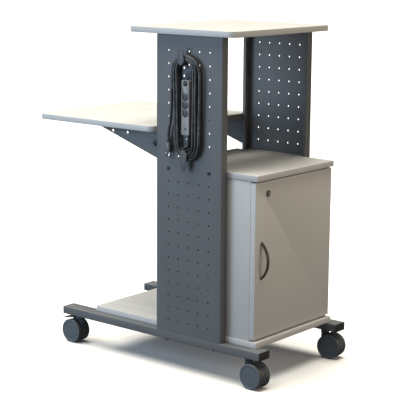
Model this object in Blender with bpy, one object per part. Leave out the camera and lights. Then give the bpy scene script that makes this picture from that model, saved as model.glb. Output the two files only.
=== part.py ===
"""Mobile printer stand: two perforated steel columns on a wheeled base, a top shelf, a side
shelf on brackets, a lockable cupboard, and a power strip whose cord is wound on two cleats.

X runs along the base rails towards the cupboard door, -Y is the side with the cord cleats and
+Z is up. While it is built, X = 0 is the middle of the columns and Z = 0 is the floor; the last
lines move everything so that the origin is under the middle of the stand.
"""

import bmesh
import bpy
from math import ceil, cos, floor, pi, radians, sin, sqrt
from mathutils import Vector

# ---- Driving dimensions, in metres ----
GAP = 0.0003                    # between pieces that touch
OVERALL_HEIGHT = 1.016
BOARD = 0.0175                  # thickness of every laminate board
STEEL = 0.0018                  # column sheet
PLATE = 0.0025                  # bracket sheet

TRACK = 0.434                   # over the outer faces of both columns, along Y
COLUMN_WIDTH = 0.246
COLUMN_DEPTH = 0.0255
COLUMN_LIP = 0.012
HOLE_PITCH = 0.0381
HOLE_RADIUS = 0.0025
HOLE_COLUMNS = 5
HOLE_SIDES = 6
FIRST_HOLE_DROP = 0.0459        # from the column's top to the first row
LAST_HOLE_RISE = 0.035          # least height of the last row over the column's foot
SLOT_PITCH = 0.045
SLOT_HEIGHT = 0.016
SLOT_WIDTH = 0.004
FIRST_SLOT_DROP = 0.0825

RAIL_LENGTH = 0.780
RAIL_WIDTH = 0.048
RAIL_HEIGHT = 0.024
RAIL_WALL = 0.0018
RAIL_SHIFT = -0.12675           # middle of the rails, from the middle of the columns
CAP_THICKNESS = 0.002
CAP_PLUG = 0.014
ANGLE_LEG = 0.025               # steel angle under the top shelf

TOP_SHELF_LENGTH = 0.400
TOP_SHELF_OVERHANG = 0.018      # past the columns' outer faces, at each side
TOP_SHELF_SHIFT = -0.0227
SIDE_SHELF_LENGTH = 0.476
SIDE_SHELF_OVERHANG = 0.018
SHELF_CORNER = 0.025
SIDE_SHELF_SLOT = 5             # column slot, from the top, that takes the brackets' upper hooks
SIDE_SHELF_OVER_SLOT = 0.0372   # shelf top over the middle of that slot
BRACKET_LENGTH = 0.234
BRACKET_HEIGHT = 0.0785
BRACKET_FLANGE = 0.022
BRACKET_HOOK = 0.0055

BOTTOM_BOARD_LENGTH = 0.629
BOTTOM_BOARD_SHIFT = -0.083
BOARD_CLEARANCE = 0.0015        # between a board's side and the columns' lips
CABINET_TOP_LENGTH = 0.370
CABINET_TOP_SHIFT = 0.044
CABINET_BOLT_ROW = 9            # row of column holes that the cupboard's top is bolted through
CABINET_TOP_OVER_BOLT = 0.0059
CABINET_CLEARANCE = 0.0020      # between the cupboard's sides and the boards between the columns
CABINET_OVERHANG = 0.0064       # of the top over the door and over the back
DOOR_BOTTOM_GAP = 0.0059
DOOR_TOP_GAP = 0.0040
HINGE_HEIGHT = 0.060
HINGE_INSET = 0.075             # hinge middle from the door's top and bottom edges
HINGE_LEAF = 0.0015
KNUCKLE_RADIUS = 0.003
HINGE_PIN_RADIUS = 0.0014

HANDLE_LENGTH = 0.1125
HANDLE_RISE = 0.0267
HANDLE_BAR = 0.005
HANDLE_WIDTH = 0.009
HANDLE_FROM_EDGE = 0.0294
HANDLE_MIDDLE_UP = 0.2283       # from the door's lower edge
LOCK_FROM_EDGE = 0.0573
LOCK_FROM_TOP = 0.0353
LOCK_FLANGE_RADIUS = 0.009
LOCK_BARREL_RADIUS = 0.008
LOCK_PLUG_RADIUS = 0.005
LOCK_CAM_LENGTH = 0.034

CLEAT_WIDTH = 0.030
CLEAT_NECK = 0.019
CLEAT_ARM = 0.012               # width of the arm that the cord lies on
CLEAT_SHEET = 0.003
UPPER_TONGUE = 0.045            # from the arm to the tongue's tip
LOWER_TONGUE = 0.057
CLEAT_BASE = 0.045
UPPER_CLEAT_X = -0.0135
LOWER_CLEAT_X = -0.0025
CORD_DIAMETER = 0.0085
HANK_TOP = 0.943
HANK_BOTTOM = 0.640
HANK_LEFT = -0.058
HANK_RIGHT = 0.0545
HANK_WALL_LEFT = 0.0320         # across the wound strands
HANK_WALL_RIGHT = 0.0365
HANK_END_WALL = 0.0262          # the same at the cleats, where the strands lie closest
HANK_DEPTH = 0.0187
HANK_STEP_Z = 0.800             # where the last strand leaves the winding

STRIP_WIDTH = 0.028
STRIP_DEPTH = 0.016
STRIP_BOTTOM = 0.7135
STRIP_LENGTH = 0.1575
BUTTON_RADIUS = 0.006
BUTTON_TRAVEL = 0.0015
RELIEF_LENGTH = 0.0205
CORD_EXIT_X = 0.0085
PLUG_X = -0.068
PLUG_Z = 0.673                  # middle of the plug's body

WHEEL_RADIUS = 0.0381
WHEEL_WIDTH = 0.0175
WHEEL_SIDES = 24
CASTER_WIDTH = 0.0481
CASTER_TRAIL = 0.0223
CASTER_INSET = 0.0526           # stem from the rail's end
NECK_RADIUS = 0.0128
NECK_HEIGHT = 0.0115
STEM_RADIUS = 0.005
STEM_COLLAR = 0.0014
AXLE_RADIUS = 0.004
HOOD_WIDTH = 0.0108
HOOD_UNDER_TREAD = 0.0016       # hood edge below the wheels' tread
PEDAL_WIDTH = 0.022
PARKED_TURN = {"near_right": radians(-3), "far_right": radians(6)}

# ---- Derived places ----
HALF_TRACK = TRACK / 2
TOP_SHELF_WIDTH = TRACK + 2 * TOP_SHELF_OVERHANG
SIDE_SHELF_WIDTH = TRACK + 2 * SIDE_SHELF_OVERHANG
COLUMN_HALF = COLUMN_WIDTH / 2
INNER_HALF = HALF_TRACK - COLUMN_DEPTH - BOARD_CLEARANCE
FLANGE_MIDDLE = HALF_TRACK - COLUMN_DEPTH / 2
AXLE_Z = WHEEL_RADIUS * cos(pi / WHEEL_SIDES)
RAIL_BOTTOM = AXLE_Z + WHEEL_RADIUS + GAP + NECK_HEIGHT + STEM_COLLAR + 3 * GAP
RAIL_TOP = RAIL_BOTTOM + RAIL_HEIGHT
RAIL_MIDDLE_Y = HALF_TRACK - RAIL_WIDTH / 2
COLUMN_FOOT = RAIL_TOP + GAP
COLUMN_TOP = OVERALL_HEIGHT - BOARD - GAP
HOLE_ROWS = floor((COLUMN_TOP - COLUMN_FOOT - FIRST_HOLE_DROP - LAST_HOLE_RISE) / HOLE_PITCH) + 1
SLOTS = floor((COLUMN_TOP - COLUMN_FOOT - FIRST_SLOT_DROP - SLOT_HEIGHT) / SLOT_PITCH) + 1
BOTTOM_BOARD_Z = RAIL_TOP + GAP
FLOOR_OF_CABINET = BOTTOM_BOARD_Z + BOARD + GAP


def hole_row_z(row):
    return COLUMN_TOP - FIRST_HOLE_DROP - row * HOLE_PITCH


def slot_z(slot):
    return COLUMN_TOP - FIRST_SLOT_DROP - slot * SLOT_PITCH


SIDE_SHELF_TOP = slot_z(SIDE_SHELF_SLOT) + SIDE_SHELF_OVER_SLOT
CABINET_TOP = hole_row_z(CABINET_BOLT_ROW) + CABINET_TOP_OVER_BOLT
CABINET_CEILING = CABINET_TOP - BOARD - GAP
CABINET_TOP_RIGHT = CABINET_TOP_SHIFT + CABINET_TOP_LENGTH / 2
CABINET_BACK_X = CABINET_TOP_SHIFT - CABINET_TOP_LENGTH / 2 + CABINET_OVERHANG
DOOR_FACE = CABINET_TOP_RIGHT - CABINET_OVERHANG
DOOR_INNER = DOOR_FACE - BOARD
PANEL_RIGHT = DOOR_INNER - GAP
DOOR_BOTTOM = BOTTOM_BOARD_Z + BOARD + DOOR_BOTTOM_GAP
DOOR_TOP = CABINET_CEILING - DOOR_TOP_GAP
HALF_CABINET = INNER_HALF - CABINET_CLEARANCE
HINGE_X = DOOR_INNER
HINGE_Y = HALF_CABINET + GAP + KNUCKLE_RADIUS
LOCK_Y = -HALF_CABINET + LOCK_FROM_EDGE
LOCK_Z = DOOR_TOP - LOCK_FROM_TOP
WEB_FACE = -HALF_TRACK - GAP    # what is fastened to the near column starts here
HANK_FRONT = WEB_FACE - HANK_DEPTH
CORD_Y = WEB_FACE - HANK_DEPTH / 2
SIDE_SHELF_RIGHT = -COLUMN_HALF - GAP
SIDE_SHELF_LEFT = SIDE_SHELF_RIGHT - SIDE_SHELF_LENGTH
RAIL_LEFT = RAIL_SHIFT - RAIL_LENGTH / 2
RAIL_RIGHT = RAIL_SHIFT + RAIL_LENGTH / 2
STEM_X = {"left": RAIL_LEFT + CASTER_INSET, "right": RAIL_RIGHT - CASTER_INSET}

for scene_object in list(bpy.data.objects):
    bpy.data.objects.remove(scene_object, do_unlink=True)


# ---- Materials ----
def finish(name, colour, roughness, metallic):
    made = bpy.data.materials.new(name)
    made.use_nodes = True
    shader = made.node_tree.nodes["Principled BSDF"]
    shader.inputs["Base Color"].default_value = (*colour, 1.0)
    shader.inputs["Roughness"].default_value = roughness
    shader.inputs["Metallic"].default_value = metallic
    made.diffuse_color = (*colour, 1.0)
    return made


LAMINATE = finish("laminate", (0.56, 0.56, 0.54), 0.45, 0.0)
CHARCOAL = finish("charcoal_steel", (0.085, 0.095, 0.112), 0.5, 0.3)
BRIGHT = finish("bright_steel", (0.55, 0.55, 0.56), 0.3, 1.0)
BRONZE = finish("dark_handle", (0.06, 0.05, 0.045), 0.35, 0.8)
CLEAT_GREY = finish("cleat_grey", (0.07, 0.07, 0.075), 0.5, 0.0)
STRIP_GREY = finish("strip_grey", (0.16, 0.16, 0.16), 0.5, 0.0)
BLACK = finish("black_plastic", (0.012, 0.012, 0.013), 0.45, 0.0)
CORD = finish("cord_jacket", (0.015, 0.015, 0.017), 0.4, 0.0)
WHEEL = finish("wheel_grey", (0.065, 0.075, 0.088), 0.5, 0.0)


# ---- Shape helpers ----
def add(name, mesh, look=None):
    made = bpy.data.objects.new(name, mesh)
    if look:
        mesh.materials.append(look)
    bpy.context.scene.collection.objects.link(made)
    return made


def mesh_of(name, form):
    bmesh.ops.recalc_face_normals(form, faces=form.faces)
    mesh = bpy.data.meshes.new(name)
    form.to_mesh(mesh)
    form.free()
    return mesh


def prism(name, outline, low, high, axis="Z", look=None):
    """A closed outline carried from low to high along an axis. The outline's two coordinates
    are the other two axes in X, Y, Z order."""
    place = {
        "X": lambda a, b, h: (h, a, b),
        "Y": lambda a, b, h: (a, h, b),
        "Z": lambda a, b, h: (a, b, h),
    }[axis]
    form = bmesh.new()
    face = form.faces.new([form.verts.new(place(a, b, low)) for a, b in outline])
    moved = bmesh.ops.extrude_face_region(form, geom=[face])["geom"]
    step = Vector(place(0, 0, high - low))
    bmesh.ops.translate(form, vec=step, verts=[v for v in moved if isinstance(v, bmesh.types.BMVert)])
    return add(name, mesh_of(name, form), look)


def box(name, low, high, look=None):
    (x0, y0, z0), (x1, y1, z1) = low, high
    return prism(name, [(x0, y0), (x1, y0), (x1, y1), (x0, y1)], z0, z1, "Z", look)


def turned(name, profile, sides, axis="Z", look=None):
    """A profile of (radius, height) points turned about an axis; its ends lie on the axis."""
    place = {
        "X": lambda a, b, h: (h, a, b),
        "Y": lambda a, b, h: (b, h, a),
        "Z": lambda a, b, h: (a, b, h),
    }[axis]
    form = bmesh.new()
    half = pi / sides           # a flat side faces straight down, not an edge
    rings = []
    for radius, height in profile:
        if radius == 0:
            rings.append([form.verts.new(place(0, 0, height))])
        else:
            turns = [half + 2 * pi * i / sides for i in range(sides)]
            rings.append([form.verts.new(place(radius * cos(t), radius * sin(t), height)) for t in turns])
    for lower, upper in zip(rings, rings[1:]):
        for i in range(sides):
            corners = [lower[i % len(lower)], lower[(i + 1) % len(lower)],
                       upper[(i + 1) % len(upper)], upper[i % len(upper)]]
            form.faces.new(list(dict.fromkeys(corners)))
    made = add(name, mesh_of(name, form), look)
    made.data.shade_smooth()
    made.data.set_sharp_from_angle(angle=radians(40))
    return made


def moved_to(made, place):
    made.location = place
    return made


def arc(centre, radius, start, end, steps):
    """Points on an arc; the angles are in degrees."""
    cx, cy = centre
    turns = [radians(start + (end - start) * i / steps) for i in range(steps + 1)]
    return [(cx + radius * cos(t), cy + radius * sin(t)) for t in turns]


def rounded(x0, x1, y0, y1, radius, steps=4):
    """A rectangle with round corners, anticlockwise."""
    corners = [(x1, y1, 0), (x0, y1, 90), (x0, y0, 180), (x1, y0, 270)]
    points = []
    for x, y, start in corners:
        centre = (x - radius if x == x1 else x + radius, y - radius if y == y1 else y + radius)
        points += arc(centre, radius, start, start + 90, steps)
    return points


def boolean(made, tool, operation):
    tool.hide_render = True
    tool.display_type = "WIRE"
    change = made.modifiers.new(operation.lower(), "BOOLEAN")
    change.operation = operation
    change.object = tool
    if made.parent:
        tool.parent = made.parent


def cut(made, tool):
    boolean(made, tool, "DIFFERENCE")


def join(made, tool):
    boolean(made, tool, "UNION")


def with_origin(made, origin):
    """Moves a mesh's own origin onto its joint's axis and leaves the piece in place."""
    made.data.transform(made.matrix_world.Translation(-Vector(origin)))
    made.location = origin
    return made


def tube(name, route, diameter, resolution, look):
    """A cord stretch: a polyline through points read from a smooth curve through its route."""
    points = smooth_route(route, 2.5 * diameter)
    curve = bpy.data.curves.new(name, "CURVE")
    curve.dimensions = "3D"
    curve.bevel_depth = diameter / 2
    curve.bevel_resolution = resolution
    curve.use_fill_caps = True
    spline = curve.splines.new("POLY")
    spline.points.add(len(points) - 1)
    for slot, point in zip(spline.points, points):
        slot.co = (*point, 1.0)
    return add(name, curve, look)


def smooth_route(route, spacing):
    """Catmull-Rom curve through the route, read at about the given spacing."""
    points = [Vector(p) for p in route]
    padded = [2 * points[0] - points[1], *points, 2 * points[-1] - points[-2]]
    read = [points[0]]
    for a, b, c, d in zip(padded, padded[1:], padded[2:], padded[3:]):
        steps = max(1, ceil((c - b).length / spacing))
        for i in range(1, steps + 1):
            t = i / steps
            read.append(0.5 * (2 * b + (c - a) * t + (2 * a - 5 * b + 4 * c - d) * t**2
                               + (3 * b - a - 3 * c + d) * t**3))
    return read


# ---- Boards ----
def top_shelf():
    half = TOP_SHELF_LENGTH / 2
    outline = rounded(TOP_SHELF_SHIFT - half, TOP_SHELF_SHIFT + half,
                      -TOP_SHELF_WIDTH / 2, TOP_SHELF_WIDTH / 2, SHELF_CORNER, 5)
    prism("top_shelf", outline, OVERALL_HEIGHT - BOARD, OVERALL_HEIGHT, "Z", LAMINATE)


def side_shelf():
    outline = rounded(SIDE_SHELF_LEFT, SIDE_SHELF_RIGHT,
                      -SIDE_SHELF_WIDTH / 2, SIDE_SHELF_WIDTH / 2, SHELF_CORNER, 5)
    prism("side_shelf", outline, SIDE_SHELF_TOP - BOARD, SIDE_SHELF_TOP, "Z", LAMINATE)


def bottom_board():
    half = BOTTOM_BOARD_LENGTH / 2
    box("bottom_board",
        (BOTTOM_BOARD_SHIFT - half, -INNER_HALF, BOTTOM_BOARD_Z),
        (BOTTOM_BOARD_SHIFT + half, INNER_HALF, BOTTOM_BOARD_Z + BOARD), LAMINATE)


def cabinet_top():
    """The cupboard's top runs between the columns, with an ear into each column's channel."""
    left = CABINET_TOP_SHIFT - CABINET_TOP_LENGTH / 2
    ear_x = COLUMN_HALF - COLUMN_LIP - BOARD_CLEARANCE
    ear_y = HALF_TRACK - STEEL - GAP
    outline = [(left, -INNER_HALF), (-ear_x, -INNER_HALF), (-ear_x, -ear_y), (ear_x, -ear_y),
               (ear_x, -INNER_HALF), (CABINET_TOP_RIGHT, -INNER_HALF), (CABINET_TOP_RIGHT, INNER_HALF),
               (ear_x, INNER_HALF), (ear_x, ear_y), (-ear_x, ear_y), (-ear_x, INNER_HALF),
               (left, INNER_HALF)]
    prism("cabinet_top", outline, CABINET_TOP - BOARD, CABINET_TOP, "Z", LAMINATE)


def cabinet_panels():
    for side, sign in (("near", -1), ("far", 1)):
        inner, outer = sorted((sign * (HALF_CABINET - BOARD), sign * HALF_CABINET))
        box(f"cabinet_{side}_panel", (CABINET_BACK_X, inner, FLOOR_OF_CABINET),
            (PANEL_RIGHT, outer, CABINET_CEILING), LAMINATE)
    back_half = HALF_CABINET - BOARD - GAP
    box("cabinet_back_panel", (CABINET_BACK_X, -back_half, FLOOR_OF_CABINET),
        (CABINET_BACK_X + BOARD, back_half, CABINET_CEILING), LAMINATE)


# ---- Door, hinges, handle and lock ----
def door():
    panel = box("cabinet_door", (DOOR_INNER, -HALF_CABINET, DOOR_BOTTOM),
                (DOOR_FACE, HALF_CABINET, DOOR_TOP), LAMINATE)
    drill = turned("lock_drill", [(0, DOOR_INNER - BOARD), (LOCK_BARREL_RADIUS + 0.0004, DOOR_INNER - BOARD),
                                  (LOCK_BARREL_RADIUS + 0.0004, DOOR_FACE + BOARD), (0, DOOR_FACE + BOARD)],
                   12, "X")
    moved_to(drill, (0, LOCK_Y, LOCK_Z))
    with_origin(panel, (HINGE_X, HINGE_Y, DOOR_BOTTOM))
    cut(panel, drill)


def knuckle(name, low, high, bore, look=None):
    made = turned(name, [(0, low), (KNUCKLE_RADIUS, low), (KNUCKLE_RADIUS, high), (0, high)], 12, "Z", look)
    moved_to(made, (HINGE_X, HINGE_Y, 0))
    if bore:
        over = HINGE_HEIGHT
        drill = turned(f"{name}_drill", [(0, low - over), (bore, low - over), (bore, high + over),
                                         (0, high + over)], 12, "Z")
        moved_to(drill, (HINGE_X, HINGE_Y, 0))
        return made, drill
    return made, None


def hinge(where, middle):
    """One butt hinge: the frame leaf, riveted to its pin, and the door leaf that turns on it."""
    low, high = middle - HINGE_HEIGHT / 2, middle + HINGE_HEIGHT / 2
    third = HINGE_HEIGHT / 3
    leaf_y = (HALF_CABINET + GAP, HALF_CABINET + GAP + HINGE_LEAF)
    clear = KNUCKLE_RADIUS + 2 * GAP
    frame_leaf = box(f"{where}_hinge_frame_leaf", (HINGE_X - 0.030, leaf_y[0], low),
                     (HINGE_X - clear, leaf_y[1], high), BRIGHT)
    for end, (a, b) in (("low", (low, low + third)), ("high", (high - third, high))):
        barrel, _ = knuckle(f"{where}_{end}_frame_knuckle", a, b, 0)
        join(frame_leaf, barrel)
        join(frame_leaf, box(f"{where}_{end}_frame_tab", (HINGE_X - clear - GAP, leaf_y[0], a),
                             (HINGE_X, leaf_y[1], b)))
    pin = turned(f"{where}_hinge_pin", [(0, low + GAP), (HINGE_PIN_RADIUS, low + GAP),
                                        (HINGE_PIN_RADIUS, high - GAP), (0, high - GAP)], 12, "Z")
    moved_to(pin, (HINGE_X, HINGE_Y, 0))
    join(frame_leaf, pin)

    door_leaf = box(f"{where}_hinge_door_leaf", (HINGE_X + clear, leaf_y[0], low),
                    (DOOR_FACE - 0.0015, leaf_y[1], high), BRIGHT)
    low_mid, high_mid = low + third + GAP, high - third - GAP
    barrel, drill = knuckle(f"{where}_door_knuckle", low_mid, high_mid, HINGE_PIN_RADIUS + 2 * GAP)
    join(door_leaf, barrel)
    join(door_leaf, box(f"{where}_door_tab", (HINGE_X, leaf_y[0], low_mid),
                        (HINGE_X + clear + GAP, leaf_y[1], high_mid)))
    with_origin(door_leaf, (HINGE_X, HINGE_Y, middle))
    cut(door_leaf, drill)


def handle():
    """A flat bar bent to one arc, standing on the door with both ends."""
    half = HANDLE_LENGTH / 2
    radius = (half**2 + HANDLE_RISE**2) / (2 * HANDLE_RISE)
    foot = DOOR_FACE + GAP
    middle = DOOR_BOTTOM + HANDLE_MIDDLE_UP
    centre = (foot + HANDLE_RISE - radius, middle)
    reach = foot - centre[0]
    inner_radius = radius - HANDLE_BAR
    outer_turn = 180 / pi * atan_of(reach, sqrt(radius**2 - reach**2))
    inner_turn = 180 / pi * atan_of(reach, sqrt(inner_radius**2 - reach**2))
    outline = arc(centre, radius, -outer_turn, outer_turn, 12)
    outline += arc(centre, inner_radius, inner_turn, -inner_turn, 12)
    y = -HALF_CABINET + HANDLE_FROM_EDGE
    prism("door_handle", outline, y - HANDLE_WIDTH / 2, y + HANDLE_WIDTH / 2, "Y", BRONZE)


def atan_of(along, across):
    return Vector((along, across)).angle_signed(Vector((1, 0)))


def lock():
    """Cam lock: flanged barrel in the door, a turning plug, and the cam on the plug's end."""
    cam_x = DOOR_INNER - 0.0095
    back = cam_x + 0.0055
    flange = DOOR_FACE + GAP
    bore = LOCK_PLUG_RADIUS + 2 * GAP
    body = turned("lock_body", [(0, back), (LOCK_BARREL_RADIUS, back), (LOCK_BARREL_RADIUS, flange),
                                (LOCK_FLANGE_RADIUS, flange), (LOCK_FLANGE_RADIUS, flange + 0.002),
                                (0, flange + 0.002)], 12, "X", BRIGHT)
    moved_to(body, (0, LOCK_Y, LOCK_Z))
    drill = turned("lock_bore", [(0, back - BOARD), (bore, back - BOARD), (bore, flange + BOARD),
                                 (0, flange + BOARD)], 12, "X")
    moved_to(drill, (0, LOCK_Y, LOCK_Z))
    cut(body, drill)
    plug = turned("lock_plug", [(0, cam_x + 0.001 + GAP), (LOCK_PLUG_RADIUS, cam_x + 0.001 + GAP),
                                (LOCK_PLUG_RADIUS, flange + 0.0025), (0, flange + 0.0025)], 12, "X", BRIGHT)
    moved_to(plug, (0, LOCK_Y, LOCK_Z))
    end = LOCK_Z - LOCK_CAM_LENGTH + 0.006
    outline = arc((LOCK_Y, LOCK_Z), 0.006, 0, 180, 6) + arc((LOCK_Y, end), 0.006, 180, 360, 6)
    cam = prism("lock_cam", outline, cam_x - 0.001, cam_x + 0.001, "X", BRIGHT)
    with_origin(cam, (cam_x, LOCK_Y, LOCK_Z))

    tab_x = cam_x + 0.001 + 3 * GAP
    face = -HALF_CABINET + BOARD + GAP
    outline = [(tab_x - 0.020, face), (tab_x + HINGE_LEAF, face), (tab_x + HINGE_LEAF, face + 0.012),
               (tab_x, face + 0.012), (tab_x, face + HINGE_LEAF), (tab_x - 0.020, face + HINGE_LEAF)]
    prism("lock_strike", outline, LOCK_Z - 0.015, LOCK_Z + 0.015, "Z", BRIGHT)


# ---- Columns, rails and brackets ----
def column(side, sign):
    """A folded channel with returned lips, a foot plate, a grid of holes in its web and a
    ladder of bracket slots in its left flange."""
    out, depth = HALF_TRACK, HALF_TRACK - COLUMN_DEPTH
    half = COLUMN_HALF
    right = [(half, out), (half, depth), (half - COLUMN_LIP, depth), (half - COLUMN_LIP, depth + STEEL),
             (half - STEEL, depth + STEEL), (half - STEEL, out - STEEL)]
    left = [(-x, y) for x, y in reversed(right)]
    outline = [(x, sign * y) for x, y in right + left]
    made = prism(f"{side}_column", outline, COLUMN_FOOT, COLUMN_TOP, "Z", CHARCOAL)
    inner, outer = sorted((sign * (depth + 0.0015), sign * (out - STEEL / 2)))
    join(made, box(f"{side}_foot", (-half + STEEL / 2, inner, COLUMN_FOOT),
                   (half - STEEL / 2, outer, COLUMN_FOOT + STEEL)))

    form = bmesh.new()
    for row in range(HOLE_ROWS):
        for i in range(HOLE_COLUMNS):
            x = (i - (HOLE_COLUMNS - 1) / 2) * HOLE_PITCH
            punch(form, [(x + HOLE_RADIUS * cos(2 * pi * k / HOLE_SIDES),
                          hole_row_z(row) + HOLE_RADIUS * sin(2 * pi * k / HOLE_SIDES))
                         for k in range(HOLE_SIDES)], sign * (out - 0.004), sign * (out + 0.004), "Y")
    for slot in range(SLOTS):
        low, high = slot_z(slot) - SLOT_HEIGHT / 2, slot_z(slot) + SLOT_HEIGHT / 2
        y = sign * FLANGE_MIDDLE
        punch(form, [(y - SLOT_WIDTH / 2, low), (y + SLOT_WIDTH / 2, low),
                     (y + SLOT_WIDTH / 2, high), (y - SLOT_WIDTH / 2, high)],
              -half - 0.004, -half + 0.004, "X")
    cut(made, add(f"{side}_punches", mesh_of(f"{side}_punches", form)))


def punch(form, outline, low, high, axis):
    """One closed prism in a tool mesh that holds many."""
    place = {"X": lambda a, b, h: (h, a, b), "Y": lambda a, b, h: (a, h, b)}[axis]
    ends = [[form.verts.new(place(a, b, h)) for a, b in outline] for h in (low, high)]
    form.faces.new(ends[0])
    form.faces.new(ends[1])
    for i in range(len(outline)):
        j = (i + 1) % len(outline)
        form.faces.new((ends[0][i], ends[0][j], ends[1][j], ends[1][i]))


def top_angle(side, sign):
    """Steel angle that fastens the top shelf to a column, inside the channel."""
    web = HALF_TRACK - STEEL - GAP
    high = COLUMN_TOP
    half = COLUMN_HALF - STEEL - 0.003
    outline = [(web, high), (web, high - ANGLE_LEG), (web - PLATE, high - ANGLE_LEG),
               (web - PLATE, high - PLATE), (web - ANGLE_LEG, high - PLATE), (web - ANGLE_LEG, high)]
    # The level leg stops short of the lips.
    reach = min(ANGLE_LEG, COLUMN_DEPTH - 2 * STEEL - 3 * GAP)
    outline = [(sign * (web - reach if y == web - ANGLE_LEG else y), z) for y, z in outline]
    prism(f"{side}_top_angle", outline, -half, half, "X", CHARCOAL)


def rail(side, sign):
    inner, outer = sorted((sign * (HALF_TRACK - RAIL_WIDTH), sign * HALF_TRACK))
    made = box(f"{side}_rail", (RAIL_LEFT, inner, RAIL_BOTTOM), (RAIL_RIGHT, outer, RAIL_TOP), CHARCOAL)
    cut(made, box(f"{side}_rail_hollow", (RAIL_LEFT - CAP_PLUG, inner + RAIL_WALL, RAIL_BOTTOM + RAIL_WALL),
                  (RAIL_RIGHT + CAP_PLUG, outer - RAIL_WALL, RAIL_TOP - RAIL_WALL)))
    for end, x in STEM_X.items():
        hole = STEM_RADIUS + 2 * GAP
        drill = turned(f"{side}_{end}_stem_drill", [(0, -0.004), (hole, -0.004), (hole, 0.004), (0, 0.004)], 12)
        moved_to(drill, (x, sign * RAIL_MIDDLE_Y, RAIL_BOTTOM))
        cut(made, drill)
    for end, x, way in (("left", RAIL_LEFT, -1), ("right", RAIL_RIGHT, 1)):
        rail_cap(f"{side}_{end}", inner, outer, x, way)


def rail_cap(where, inner, outer, x, way):
    """Plastic end cap: a face as big as the rail's end on a plug that goes into it."""
    a, b = sorted((x + way * GAP, x + way * (GAP + CAP_THICKNESS)))
    made = box(f"{where}_rail_cap", (a, inner, RAIL_BOTTOM), (b, outer, RAIL_TOP), BLACK)
    inset = RAIL_WALL + GAP
    a, b = sorted((x + way * (GAP + CAP_THICKNESS / 2), x - way * CAP_PLUG))
    join(made, box(f"{where}_cap_plug", (a, inner + inset, RAIL_BOTTOM + inset),
                   (b, outer - inset, RAIL_TOP - inset)))


def shelf_bracket(side, sign):
    """Triangular bracket: a plate in line with the column's slots, its hooks in two of them,
    and a flange folded under the side shelf."""
    top = SIDE_SHELF_TOP - BOARD - GAP
    back = -COLUMN_HALF - GAP
    tip = back - BRACKET_LENGTH
    low = top - BRACKET_HEIGHT
    outline = [(back, top), (tip, top), (tip, top - 0.005), (back - 0.010, low), (back, low)]
    inside = -COLUMN_HALF + STEEL + GAP
    for slot in (SIDE_SHELF_SLOT + 1, SIDE_SHELF_SLOT):
        z = slot_z(slot)
        low_neck, high_neck = z - 0.003, z + SLOT_HEIGHT / 2 - 2 * GAP
        outline += [(back, low_neck), (inside, low_neck), (inside, z - SLOT_HEIGHT / 2 - 0.003),
                    (inside + BRACKET_HOOK, z - SLOT_HEIGHT / 2 - 0.001), (inside + BRACKET_HOOK, high_neck),
                    (back, high_neck)]
    a, b = sorted((sign * FLANGE_MIDDLE - PLATE / 2, sign * FLANGE_MIDDLE + PLATE / 2))
    made = prism(f"{side}_shelf_bracket", outline, a, b, "Y", CHARCOAL)
    fold = sign * (FLANGE_MIDDLE + PLATE / 2)
    a, b = sorted((fold, fold - sign * BRACKET_FLANGE))
    join(made, box(f"{side}_bracket_flange", (tip, a, top - PLATE), (back, b, top)))


# ---- Cord, cleats and power strip ----
def cleat(name, x, arm_z, tongue, up):
    """J-shaped cleat: a base plate on the column, an arm through the winding and a tongue in
    front of it. up is 1 for a tongue that points up and -1 for one that points down."""
    tongue_back = HANK_FRONT - GAP
    front = tongue_back - CLEAT_SHEET
    # Side view: base, arm and tongue in one strip.
    arm = (arm_z, arm_z - up * CLEAT_SHEET)
    base_end = arm_z - up * CLEAT_BASE
    tip = arm_z + up * tongue
    side = [(WEB_FACE, base_end), (WEB_FACE, arm[0]), (tongue_back, arm[0]), (tongue_back, tip),
            (front, tip), (front, arm[1]), (WEB_FACE - CLEAT_SHEET, arm[1]),
            (WEB_FACE - CLEAT_SHEET, base_end)]
    made = prism(name, side, x - CLEAT_WIDTH / 2, x + CLEAT_WIDTH / 2, "X", CLEAT_GREY)
    # Front view: a straight base, a wide shoulder at the arm and a tongue that narrows.
    neck, arm_half, half = CLEAT_NECK / 2, CLEAT_ARM / 2, CLEAT_WIDTH / 2
    tip_radius = neck - 0.002
    round_tip = arc((x, tip - up * tip_radius), tip_radius, 0 if up > 0 else 360, 180, 6)
    outline = [(x - neck, base_end - up * 0.002), (x + neck, base_end - up * 0.002),
               (x + neck, arm[1] - up * 0.004), (x + arm_half, arm[1]), (x + arm_half, arm[0]),
               (x + half - 0.001, arm[0] + up * 0.006), *round_tip,
               (x - half + 0.001, arm[0] + up * 0.006), (x - arm_half, arm[0]), (x - arm_half, arm[1]),
               (x - neck, arm[1] - up * 0.004)]
    boolean(made, prism(f"{name}_silhouette", outline, front - 0.002, WEB_FACE + 0.002, "Y"), "INTERSECT")


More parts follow.
